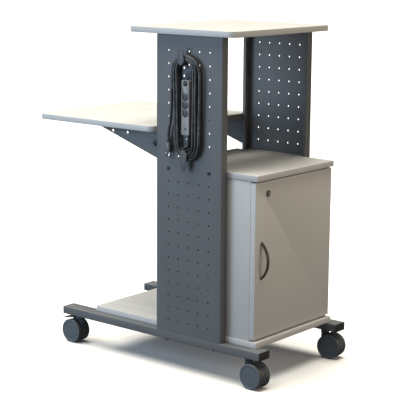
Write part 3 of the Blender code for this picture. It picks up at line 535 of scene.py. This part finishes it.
plug = {"neck": 0.016, "body": 0.028, "waist": (0.72, 0.80, 1.0), "bodyEdge": 0.0035,
        "ribs": 4, "ribDrop": 0.006, "ribStep": 0.0042, "ribHalf": 0.0094, "ribGrowth": 0.0004,
        "ribInset": 0.0012, "ribHeight": 0.0014, "ribEdge": 0.0006,
        "rings": 5, "ringDrop": 0.0018, "ringStep": 0.0032, "ringRadius": 0.0060, "ringGrowth": 0.0003,
        "ringHeight": 0.0019, "ringEdge": 0.0005,
        "sleeveRadius": 0.0058, "sleeveTip": 0.0048, "sleeveLength": 0.0166,
        "bladeX": 0.0063, "bladeHalf": 0.0008, "bladeY": (-0.0032, 0.0031), "bladeRoot": 0.026,
        "bladeEdge": 0.0005}


def makePlug():
    # moulded plug: body drawn in at the top, grip ribs, ringed neck and two flat blades
    low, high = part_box("power_plug")
    middle = (low + high) / 2
    bodyTop = high.z - plug["neck"]
    body = block("plugBody", (low.x, low.y, bodyTop - plug["body"]), (high.x, high.y, bodyTop))
    pick(body, "verts", lambda p, n: p.z > bodyTop - near)
    bpy.ops.transform.resize(value=plug["waist"], center_override=(middle.x, middle.y, bodyTop))
    leave(body)
    softened(body, plug["bodyEdge"], 4)
    for i in range(plug["ribs"]):
        z = bodyTop - plug["ribDrop"] - plug["ribStep"] * i
        wide = plug["ribHalf"] + plug["ribGrowth"] * i
        rib = block("plugRib", (middle.x - wide, low.y + plug["ribInset"], z - plug["ribHeight"] / 2),
                    (middle.x + wide, high.y - plug["ribInset"], z + plug["ribHeight"] / 2))
        joined(body, softened(rib, plug["ribEdge"]))
    for i in range(plug["rings"]):
        z = high.z - plug["ringDrop"] - plug["ringStep"] * i
        ring = rod("plugRing", (middle.x, middle.y, z), plug["ringRadius"] + plug["ringGrowth"] * i,
                   plug["ringHeight"], "Z", 24)
        joined(body, softened(ring, plug["ringEdge"]))
    sleeve = rod("plugSleeve", (middle.x, middle.y, high.z - plug["sleeveLength"] / 2), plug["sleeveRadius"],
                 plug["sleeveLength"], "Z", 24, plug["sleeveTip"])
    joined(body, sleeve)
    dress(smooth(body), looks["outlet"], "stand", ("power_plug",))
    pair = []
    for x in (middle.x - plug["bladeX"], middle.x + plug["bladeX"]):
        front, back = plug["bladeY"]
        blade = block("plugBlades", (x - plug["bladeHalf"], middle.y + front, low.z),
                      (x + plug["bladeHalf"], middle.y + back, bodyTop - plug["bladeRoot"]))
        pair.append(softened(blade, plug["bladeEdge"]))
    blades = joined(*pair)
    dress(blades, looks["screw"], "stand")
    return body, blades


cordPiece, cordExit = makeCord()
plugPieces = makePlug()
print("cord and plug made")

board = {"edge": 0.0011, "corner": 0.025, "lockHole": 0.0084, "lockCut": 0.08}


def makeBoard(node, look, corner=0.0):
    low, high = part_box(node)
    piece = block(node + "Board", low, high)
    if corner:
        rounded(piece, "edges", lambda p, d: abs(d.z) > 0.9, corner, 12)
    softened(piece, board["edge"], 3, 40)
    dress(piece, look, "stand", (node,))


def makeCabinetTop():
    # the top's two ears reach into the columns
    piece = fromNode("cabinet_top", "cabinetTopBoard")
    softened(piece, board["edge"], 3, 40)
    dress(piece, looks["boardY"], "stand", ("cabinet_top",))


def makeDoor():
    low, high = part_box("cabinet_door")
    piece = block("doorPanel", low, high)
    lockLow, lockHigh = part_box("lock_body")
    softened(piece, board["edge"], 3, 40)
    cutBy(piece, rod("lockHole", (lockLow + lockHigh) / 2, board["lockHole"], board["lockCut"], "X", 40))
    dress(smooth(piece), looks["door"], "door", ("cabinet_door",))


makeBoard("top_shelf", looks["boardY"], board["corner"])
makeBoard("side_shelf", looks["boardY"], board["corner"])
makeBoard("bottom_board", looks["boardX"])
makeBoard("cabinet_near_panel", looks["panel"])
makeBoard("cabinet_far_panel", looks["panel"])
makeBoard("cabinet_back_panel", looks["door"])
makeCabinetTop()
makeDoor()
print("boards made")

# drop and slotDrop are from the column's top to the first row of holes and the first slot
column = {"sheet": 0.0018, "lip": 0.012, "fold": 0.0024, "footInset": 0.002,
          "pitch": 0.0381, "across": 5, "rows": 22, "drop": 0.0459, "hole": 0.0026,
          "slotPitch": 0.045, "slots": 18, "slotDrop": 0.0825, "slot": (0.004, 0.016), "slotRound": 0.49,
          "cut": 0.004}


def makeColumn():
    # folded from one sheet: web, flanges and returned lips, then punched
    low, high = columnLow, columnHigh
    half, sheet = column["sheet"] / 2, column["sheet"]
    folds = [columnX + side * ((high.x - low.x) / 2 - half) for side in (-1, 1)]
    clearSelection()
    bpy.ops.mesh.primitive_plane_add(size=1, location=(columnX, low.y + half, (low.z + high.z) / 2),
                                     rotation=turns["Y"])
    piece = named(bpy.context.object, "nearColumnSheet")
    piece.scale = (high.x - low.x - sheet, high.z - low.z, 1)
    settle(piece)
    for side, foldX in zip((-1, 1), folds):
        pick(piece, "edges", lambda p, d: abs(d.z) > 0.9 and abs(p.x - foldX) < near)
        for reach in ((0, high.y - low.y - sheet, 0), (-side * (column["lip"] - half), 0, 0)):
            bpy.ops.mesh.extrude_region_move(TRANSFORM_OT_translate={"value": reach})
        leave(piece)
    pick(piece, "edges", lambda p, d: abs(d.z) > 0.9 and min(abs(p.x - foldX) for foldX in folds) < near)
    bpy.ops.mesh.bevel(offset=column["fold"], segments=4, affect="EDGES")
    bpy.ops.mesh.select_all(action="SELECT")
    bpy.ops.mesh.normals_make_consistent(inside=False)
    leave(piece)
    applied(piece, "SOLIDIFY", thickness=sheet, offset=0, use_even_offset=True)
    inset, cut = column["footInset"], column["cut"]
    foot = block("columnFoot", (low.x + inset, low.y + inset, low.z),
                 (high.x - inset, high.y - inset, low.z + sheet))
    punch = rod("punch", (columnX - 2 * column["pitch"], low.y, high.z - column["drop"]), column["hole"],
                2 * cut, "Y", 18)
    repeated(punch, column["across"], (column["pitch"], 0, 0))
    repeated(punch, column["rows"], (0, 0, -column["pitch"]))
    wide, tall = column["slot"]
    y, z = low.y + columnHalfDepth, high.z - column["slotDrop"]
    slot = block("slot", (low.x - cut, y - wide / 2, z - tall / 2), (low.x + cut, y + wide / 2, z + tall / 2))
    rounded(slot, "edges", lambda p, d: abs(d.x) > 0.9, wide * column["slotRound"], 4)
    repeated(slot, column["slots"], (0, 0, -column["slotPitch"]))
    cutBy(piece, punch, slot)
    joined(piece, foot)
    return smooth(piece, 32)


nearColumn = makeColumn()
farColumn = mirroredY(nearColumn, "farColumnSheet")
smooth(farColumn, 32)
dress(nearColumn, looks["steel"], "stand", ("near_column",))
dress(farColumn, looks["steel"], "stand", ("far_column",))
print("columns made")

steelwork = {"railFold": 0.0016, "capEdge": 0.0009, "angleEdge": 0.0008, "bracketEdge": 0.0005,
             "bracketHoles": ((-0.3080, 0.697), (-0.2490, 0.6965)), "holeRadius": 0.0042, "holeCut": 0.02}


def makeSteelwork(side, sign):
    rail = fromNode(side + "_rail", side + "RailTube")
    low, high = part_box(side + "_rail")

    def outerEdge(p, d):
        return (abs(d.x) > 0.99 and min(abs(p.y - low.y), abs(p.y - high.y)) < near
                and min(abs(p.z - low.z), abs(p.z - high.z)) < near)

    rounded(rail, "edges", outerEdge, steelwork["railFold"], 4)
    dress(smooth(rail), looks["steel"], "stand", (side + "_rail",))
    for end in ("left", "right"):
        cap = fromNode(f"{side}_{end}_rail_cap", f"{side}{end.title()}RailCap")
        softened(cap, steelwork["capEdge"], 3)
        dress(cap, looks["black"], "stand", (f"{side}_{end}_rail_cap",))
    angle = fromNode(side + "_top_angle", side + "TopAngle")
    softened(angle, steelwork["angleEdge"], 3)
    dress(angle, looks["steel"], "stand", (side + "_top_angle",))
    bracket = fromNode(side + "_shelf_bracket", side + "ShelfBracket")
    plateY = sign * (webY - columnHalfDepth)
    for x, z in steelwork["bracketHoles"]:
        hole = rod("bracketHole", (x + columnX, plateY, z), steelwork["holeRadius"], steelwork["holeCut"],
                   "Y", 24)
        cutBy(bracket, hole)
    softened(bracket, steelwork["bracketEdge"])
    dress(bracket, looks["steel"], "stand", (side + "_shelf_bracket",))


endStrip = {"thick": 0.0016, "reach": 0.1906, "fold": 0.011, "topGap": 0.0004, "edge": 0.0004}


def makeShelfEndStrip():
    # folded strip over the side shelf's inner end
    low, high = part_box("side_shelf")
    inner, outer = high.x + gap, high.x + gap + endStrip["thick"]
    under, reach = low.z - gap, endStrip["reach"]
    strap = block("shelfEndStrip", (inner, -reach, low.z), (outer, reach, high.z - endStrip["topGap"]))
    fold = block("stripFold", (high.x - endStrip["fold"], -reach, under - endStrip["thick"]),
                 (outer, reach, under))
    dress(softened(joined(strap, fold), endStrip["edge"]), looks["steel"], "stand")


for side, sign in (("near", -1), ("far", 1)):
    makeSteelwork(side, sign)
makeShelfEndStrip()
print("steelwork made")

# radius and height of each head, in metres
fasteners = {"webBolt": (0.0052, 0.0030), "railBolt": (0.0085, 0.0105), "bracketBolt": (0.0080, 0.0060),
             "cleatScrew": (0.0040, 0.0022), "hingeScrew": (0.0030, 0.0012), "shelfScrew": (0.0045, 0.0025)}
# shares of a head's own radius or height
headShape = {"dome": 0.6, "socket": 0.42, "socketCut": 1.1, "crossLong": 0.55, "crossThin": 0.14,
             "crossCut": 0.45}


def buttonHead(name, centre, kind, axis, way, recess):
    # low domed head with a hexagon or a cross recess; way is +1 or -1 along the axis, outwards
    radius, height = fasteners[kind]
    index = "XYZ".index(axis)
    place = Vector(centre)
    place[index] += way * height / 2
    head = rod(name, place, radius, height, axis, 28)
    rounded(head, "faces", lambda p, n: n[index] * way > 0.9, height * headShape["dome"], 4)
    place[index] = centre[index] + way * height
    if recess == "hexagon":
        cutBy(head, rod("socket", place, radius * headShape["socket"], height * headShape["socketCut"],
                        axis, 6))
    else:
        for long in [i for i in range(3) if i != index]:
            half = Vector([radius * headShape["crossThin"]] * 3)
            half[long] = radius * headShape["crossLong"]
            half[index] = height * headShape["crossCut"]
            cutBy(head, block("cross", place - half, place + half))
    return smooth(head, 40)


def addBolt(name, centre, kind, axis, way):
    dress(buttonHead(name, centre, kind, axis, way, "hexagon"), looks["bolt"], "stand")


def addScrew(name, centre, kind, axis, way, body="stand"):
    dress(buttonHead(name, centre, kind, axis, way, "cross"), looks["screw"], body)


# x is measured from the column's middle, in from the column's outer face
boltPlaces = {"webRow": 9, "webAcross": (-2, 2), "railX": (-0.099, 0.081), "railIn": 0.024,
              "bracket": (-0.1345, 0.675), "bracketFace": 0.00125,
              "shelfX": (-0.07, 0.07), "shelfIn": 0.014, "angleThick": 0.0025}


def makeFasteners(side, sign):
    row = columnHigh.z - column["drop"] - boltPlaces["webRow"] * column["pitch"]
    for i, hole in enumerate(boltPlaces["webAcross"]):
        place = (columnX + hole * column["pitch"], sign * webY, row)
        addBolt(f"{side}WebBolt{i}", place, "webBolt", "Y", sign)
    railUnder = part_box("near_rail")[0].z
    for i, x in enumerate(boltPlaces["railX"]):
        place = (columnX + x, sign * (webY - boltPlaces["railIn"]), railUnder)
        addBolt(f"{side}RailBolt{i}", place, "railBolt", "Z", -1)
    x, z = boltPlaces["bracket"]
    plate = sign * (webY - columnHalfDepth + boltPlaces["bracketFace"])
    addBolt(f"{side}BracketBolt", (columnX + x, plate, z), "bracketBolt", "Y", sign)
    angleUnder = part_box(side + "_top_angle")[1].z - boltPlaces["angleThick"]
    for i, x in enumerate(boltPlaces["shelfX"]):
        place = (columnX + x, sign * (webY - boltPlaces["shelfIn"]), angleUnder)
        addScrew(f"{side}ShelfScrew{i}", place, "shelfScrew", "Z", -1)


for side, sign in (("near", -1), ("far", 1)):
    makeFasteners(side, sign)
print("fasteners made")

hinge = {"leaf": 0.0015, "frameScrewIn": 0.010, "doorScrewIn": 0.006, "screwEnd": 0.012}


def makeHinge(where):
    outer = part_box("cabinet_far_panel")[1].y + gap + hinge["leaf"]
    for leaf, body in (("frame", "stand"), ("door", "door")):
        node = f"{where}_hinge_{leaf}_leaf"
        piece = fromNode(node, f"{where}Hinge{leaf.title()}Leaf")
        dress(smooth(piece), looks["zinc"], body, (node,))
        low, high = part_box(node)
        x = low.x + hinge["frameScrewIn"] if leaf == "frame" else high.x - hinge["doorScrewIn"]
        rows = (low.z + hinge["screwEnd"], (low.z + high.z) / 2, high.z - hinge["screwEnd"])
        for i, z in enumerate(rows):
            addScrew(f"{where}Hinge{leaf.title()}Screw{i}", (x, outer, z), "hingeScrew", "Y", 1, body)


doorFurniture = {"pullEdge": 0.0016, "barrelEdge": 0.0005, "camEdge": 0.0004,
                 "keywayDepth": 0.003, "keywayHalf": 0.0006, "keywayZ": (-0.0034, 0.0030)}


def makePullAndLock():
    pull = fromNode("door_handle", "doorPull")
    softened(pull, doorFurniture["pullEdge"], 4)
    dress(pull, looks["bronze"], "door", ("door_handle",))
    barrel = fromNode("lock_body", "lockBarrel")
    softened(barrel, doorFurniture["barrelEdge"], 3)
    dress(barrel, looks["bronze"], "door", ("lock_body",))
    keyPlug = fromNode("lock_plug", "lockKeyPlug")
    low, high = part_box("lock_plug")
    centre = (low + high) / 2
    depth, half = doorFurniture["keywayDepth"], doorFurniture["keywayHalf"]
    bottom, top = doorFurniture["keywayZ"]
    cutBy(keyPlug, block("keyway", (high.x - depth, centre.y - half, centre.z + bottom),
                         (high.x + depth, centre.y + half, centre.z + top)))
    dress(smooth(keyPlug), looks["zinc"], "lock_turner", ("lock_plug",))
    for node, name, body in (("lock_cam", "lockCamBar", "lock_turner"),
                             ("lock_strike", "lockStrikePlate", "stand")):
        piece = softened(fromNode(node, name), doorFurniture["camEdge"])
        dress(piece, looks["zinc"], body, (node,))


makeHinge("upper")
makeHinge("lower")
makePullAndLock()
print("door furniture made")

cleat = {"edge": 0.0009, "base": 0.003, "screwEnd": 0.0105, "screwStep": 0.0225}
# the plate behind the upper cleat is painted shade: black where the winding shades the column
paintedShadePlate = {"x": (-0.0240, 0.0130), "z": (0.8725, 0.9040), "thick": 0.0028, "corner": 0.005, "edge": 0.0006}


def makeCleat(where):
    node = where + "_cord_cleat"
    piece = fromNode(node, where + "CordCleat")
    softened(piece, cleat["edge"], 3)
    dress(piece, looks["cleat"], "stand", (node,))
    low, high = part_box(node)
    for i in (0, 1):
        inwards = cleat["screwEnd"] + cleat["screwStep"] * i
        z = low.z + inwards if where == "upper" else high.z - inwards
        place = ((low.x + high.x) / 2, -webY - gap - cleat["base"], z)
        addScrew(f"{where}CleatScrew{i}", place, "cleatScrew", "Y", -1)


def makePaintedShadePlate():
    # a black plate behind the upper cleat, inside the winding, that paints the shade the winding casts there
    left, right = (columnX + x for x in paintedShadePlate["x"])
    bottom, top = paintedShadePlate["z"]
    back = -webY - gap
    plate = block("cleatPaintedShadePlate", (left, back - paintedShadePlate["thick"], bottom), (right, back, top))
    rounded(plate, "edges", lambda p, d: abs(d.y) > 0.9, paintedShadePlate["corner"], 6)
    dress(softened(plate, paintedShadePlate["edge"]), looks["black"], "stand")


# outlets and lamp are heights above the floor; pocket, face and lampSize are a radius and a depth;
# ground is a radius and a drop, dark is a half width and the reach below and above, for the near-black block
# of painted shade behind the slots
strip = {"edge": 0.0016, "outlets": (0.7760, 0.7995, 0.8230), "lamp": 0.7330,
         "pocket": (0.0112, 0.0016), "face": (0.0108, 0.0022), "sunk": 0.0009, "faceEdge": 0.0006,
         "slotX": 0.0048, "slotHalf": 0.0007, "slotHeights": (0.0036, 0.0030), "slotDepth": 0.0012,
         "proud": 0.003, "ground": (0.0018, 0.0062), "groundCut": (0.001, 0.005),
         "dark": (0.0065, 0.0085, 0.0045), "paintedShadeY": (0.00115, 0.0018), "lampSize": (0.0034, 0.0026),
         "lampProud": 0.0003, "lampEdge": 0.0009,
         "collar": (0.0076, 0.0009), "buttonEdge": 0.0008}


def makeOutlet(i, x, front, z):
    # round face with two blade slots and a ground hole, over a near-black block that paints the shade inside
    # the outlet
    radius, depth = strip["face"]
    face = rod(f"outletFace{i}", (x, front + strip["sunk"], z), radius, depth, "Y", 40)
    rounded(face, "faces", lambda p, n: n.y < -0.9, strip["faceEdge"], 2)
    half = strip["slotHalf"]
    for side, tall in zip((-1, 1), strip["slotHeights"]):
        slotX = x + side * strip["slotX"]
        cutBy(face, block("bladeSlot", (slotX - half, front - strip["proud"], z - tall),
                          (slotX + half, front + strip["slotDepth"], z + tall)))
    groundRadius, groundDrop = strip["ground"]
    groundFront, groundCut = strip["groundCut"]
    cutBy(face, rod("groundHole", (x, front - groundFront, z - groundDrop), groundRadius, groundCut, "Y", 16))
    dress(smooth(face), looks["black"], "stand")
    # a near-black block behind the face: the slots show it as painted shade
    wide, below, above = strip["dark"]
    darkFront, darkBack = strip["paintedShadeY"]
    dark = block(f"outletPaintedShade{i}", (x - wide, front + darkFront, z - below),
                 (x + wide, front + darkBack, z + above))
    dress(dark, looks["slot"], "stand")


relief = {"radius": 0.0046, "tip": 0.0052, "rings": 6, "ringDrop": 0.0017, "ringStep": 0.0033,
          "ringRadius": 0.0058, "ringTaper": 0.00012, "ringHeight": 0.0020, "ringEdge": 0.0005}


def makeStrainRelief():
    low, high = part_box("strip_strain_relief")
    middle = (low + high) / 2
    piece = rod("strainReliefSleeve", middle, relief["radius"], high.z - low.z, "Z", 24, relief["tip"])
    for i in range(relief["rings"]):
        z = high.z - relief["ringDrop"] - relief["ringStep"] * i
        ring = rod("reliefRing", (middle.x, middle.y, z), relief["ringRadius"] - relief["ringTaper"] * i,
                   relief["ringHeight"], "Z", 24)
        joined(piece, softened(ring, relief["ringEdge"]))
    dress(smooth(piece), looks["cord"], "stand", ("strip_strain_relief",))


def makeStrip():
    # housing with three recessed outlets, a lamp and the reset button with its collar
    housing = fromNode("strip_housing", "stripHousing")
    low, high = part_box("strip_housing")
    x, front = (low.x + high.x) / 2, low.y
    softened(housing, strip["edge"], 3)
    radius, depth = strip["pocket"]
    for z in strip["outlets"]:
        cutBy(housing, rod("pocket", (x, front, z), radius, depth, "Y", 40))
    dress(smooth(housing), looks["strip"], "stand", ("strip_housing",))
    for i, z in enumerate(strip["outlets"]):
        makeOutlet(i, x, front, z)
    radius, depth = strip["lampSize"]
    lamp = rod("stripLamp", (x, front - strip["lampProud"], strip["lamp"]), radius, depth, "Y", 24)
    softened(lamp, strip["lampEdge"], 3)
    dress(lamp, looks["outlet"], "stand")
    low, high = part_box("reset_button")
    radius, thick = strip["collar"]
    clearSelection()
    bpy.ops.mesh.primitive_torus_add(major_segments=32, minor_segments=8, major_radius=radius,
                                     minor_radius=thick, rotation=turns["Y"],
                                     location=((low.x + high.x) / 2, front, (low.z + high.z) / 2))
    collar = settle(named(bpy.context.object, "buttonCollar"))
    dress(smooth(collar, 60), looks["outlet"], "stand")
    button = fromNode("reset_button", "resetButton")
    softened(button, strip["buttonEdge"], 3)
    dress(button, looks["black"], "button", ("reset_button",))
    makeStrainRelief()


makeCleat("upper")
makeCleat("lower")
makePaintedShadePlate()
makeStrip()
print("cleats and strip made")

# parked is the angle, in degrees, that a caster stands at
caster = {"rim": 0.0377, "width": 0.0175, "spread": 0.02405, "trail": 0.0223, "tread": 0.0016,
          "coverEdge": 0.0052, "coverStep": 0.0007, "dish": 0.0009, "hub": 0.0090, "hubStep": 0.0006,
          "hubRise": 0.4,
          "rimWall": 0.0040, "wallStep": 0.0010, "hollow": 0.0050, "bossFrom": 0.0185, "boss": 0.0048,
          "hoodEdge": 0.0007, "parked": {"near_right": -3.0, "far_right": 6.0}}
pedal = {"edge": 0.0005, "ribs": 3, "ribFrom": (0.0065, 0.0108), "ribStep": (0.0042, 0.00085),
         "ribWide": 0.0016, "ribHalf": 0.0092, "ribZ": (0.0022, 0.0040), "ribEdge": 0.0004}


def insetBy(*steps):
    for step in steps:
        bpy.ops.mesh.inset(thickness=step)


def makeWheelPiece(name, centre, outwards):
    # one of a caster's two wheels: rounded tread, shallow dished cover with a hub boss, hollow inner side
    wheel = rod(name, centre, caster["rim"], caster["width"], "Y", 64)
    rounded(wheel, "faces", lambda p, n: abs(n.y) > 0.9, caster["tread"], 4)
    pick(wheel, "faces", lambda p, n: n.y * outwards > 0.9999)
    insetBy(caster["coverEdge"] - caster["tread"], caster["coverStep"])
    bpy.ops.transform.translate(value=(0, -outwards * caster["dish"], 0))
    insetBy(caster["hub"], caster["hubStep"])
    bpy.ops.transform.translate(value=(0, outwards * caster["dish"] * caster["hubRise"], 0))
    leave(wheel)
    pick(wheel, "faces", lambda p, n: n.y * outwards < -0.9999)
    insetBy(caster["rimWall"], caster["wallStep"])
    bpy.ops.transform.translate(value=(0, outwards * caster["hollow"], 0))
    insetBy(caster["bossFrom"], caster["wallStep"])
    bpy.ops.transform.translate(value=(0, -outwards * caster["boss"], 0))
    leave(wheel)
    return smooth(wheel, 30)


def makePedal(name, side, stemY):
    node = name + "_brake_pedal"
    piece = fromNode(node, f"{side}BrakePedal")
    softened(piece, pedal["edge"])
    low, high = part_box(node)
    for i in range(pedal["ribs"]):
        x = low.x + pedal["ribFrom"][0] + pedal["ribStep"][0] * i
        z = high.z - pedal["ribFrom"][1] + pedal["ribStep"][1] * i
        rib = block("pedalRib", (x, stemY - pedal["ribHalf"], z + pedal["ribZ"][0]),
                    (x + pedal["ribWide"], stemY + pedal["ribHalf"], z + pedal["ribZ"][1]))
        joined(piece, softened(rib, pedal["ribEdge"]))
    dress(piece, looks["black"], name + "_pedal", (node,))


def makeCaster(side, sign, end):
    name = f"{side}_{end}"
    stemLow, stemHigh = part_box(name + "_caster_stem")
    stem = (stemLow + stemHigh) / 2
    way = 1 if end == "right" else -1
    for place, outwards in (("outer", sign), ("inner", -sign)):
        node = f"{name}_{place}_wheel"
        low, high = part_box(node)
        centre = Vector((stem.x + way * caster["trail"],
                         stem.y + outwards * (caster["spread"] - caster["width"] / 2), (low.z + high.z) / 2))
        wheel = makeWheelPiece(f"{side}{end.title()}{place.title()}Wheel", centre, outwards)
        if name in caster["parked"]:
            turnedPiece(wheel, stem, radians(caster["parked"][name]))
        dress(wheel, looks["wheel"], node, (node,))
    hood = fromNode(name + "_caster_hood", f"{side}{end.title()}Hood")
    softened(hood, caster["hoodEdge"], 2, 40)
    dress(hood, looks["hood"], name + "_caster", (name + "_caster_hood",))
    for node in (name + "_caster_stem", name + "_axle"):
        nodes[node].data.materials.clear()
        nodes[node].data.materials.append(looks["zinc"])
    if end == "left":
        makePedal(name, side, stem.y)


for side, sign in (("near", -1), ("far", 1)):
    for end in ("left", "right"):
        makeCaster(side, sign, end)
print("casters made")

stage = {"floor": (0.86, 0.86, 0.86), "pale": (0.88, 0.88, 0.88), "roughness": 0.9, "size": 300,
         "world": (0.93, 0.96, 1.0), "worldStrength": 0.15}


def makeFloor():
    clearSelection()
    bpy.ops.mesh.primitive_plane_add(size=stage["size"], location=(0, 0, 0))
    floor = named(bpy.context.object, "floor")
    finish = Finish("paleFloor", specular=0.1)
    colour = finish.noise(0.6, detail=2.0).mixed(stage["floor"], stage["pale"])
    floor.data.materials.append(finish.wire(colour, stage["roughness"]))
    floor.visible_diffuse = False        # a bright floor that throws no light back on the stand
    floor.visible_glossy = False


def makeWorld():
    world = bpy.data.worlds.new("studio")
    world.use_nodes = True
    tree = world.node_tree
    light = Flow(tree, tree.nodes["Background"].outputs[0])
    tree.nodes["Background"].inputs["Color"].default_value = (*stage["world"], 1)
    tree.nodes["Background"].inputs["Strength"].default_value = stage["worldStrength"]
    # seen directly, past the floor's far edge, the studio is as pale as the floor
    pale = light.node("ShaderNodeBackground", None, {"Color": (1, 1, 1, 1), "Strength": 1.0})
    seen = light.node("ShaderNodeLightPath", out="Is Camera Ray")
    either = light.node("ShaderNodeMixShader", None, {0: seen, 1: light, 2: pale})
    tree.links.new(either.socket, tree.nodes["World Output"].inputs["Surface"])
    bpy.context.scene.world = world
    bpy.context.scene.view_settings.view_transform = "Standard"


# a sun's size is its angle in radians, an area's its side; aim is the place it points at
lights = {
    "overhead": {"kind": "SUN", "from": (-0.20, -0.02, 1.0), "aim": (0, 0, 0), "size": 1.1, "power": 6.4,
                 "colour": (1.0, 0.95, 0.83)},
    "coolLeft": {"kind": "AREA", "from": (-1.3, -2.6, 1.15), "aim": (0, 0, 0.7), "size": 1.6, "power": 46,
                 "colour": (0.60, 0.79, 1.0)},
    "warmRight": {"kind": "AREA", "from": (3.4, 0.4, 1.3), "aim": (0, 0, 0.7), "size": 2.2, "power": 33,
                  "colour": (1.0, 0.80, 0.56)},
}


def makeLights():
    for name, light in lights.items():
        data = bpy.data.lights.new(name, light["kind"])
        data.energy, data.color = light["power"], light["colour"]
        if light["kind"] == "SUN":
            data.angle = light["size"]
        else:
            data.shape, data.size = "SQUARE", light["size"]
        lamp = bpy.data.objects.new(name, data)
        bpy.context.scene.collection.objects.link(lamp)
        lamp.location = light["from"]
        way = Vector(light["aim"]) - Vector(light["from"])
        lamp.rotation_euler = way.to_track_quat("-Z", "Y").to_euler()


makeFloor()
makeWorld()
makeLights()
print("stage and lights made")
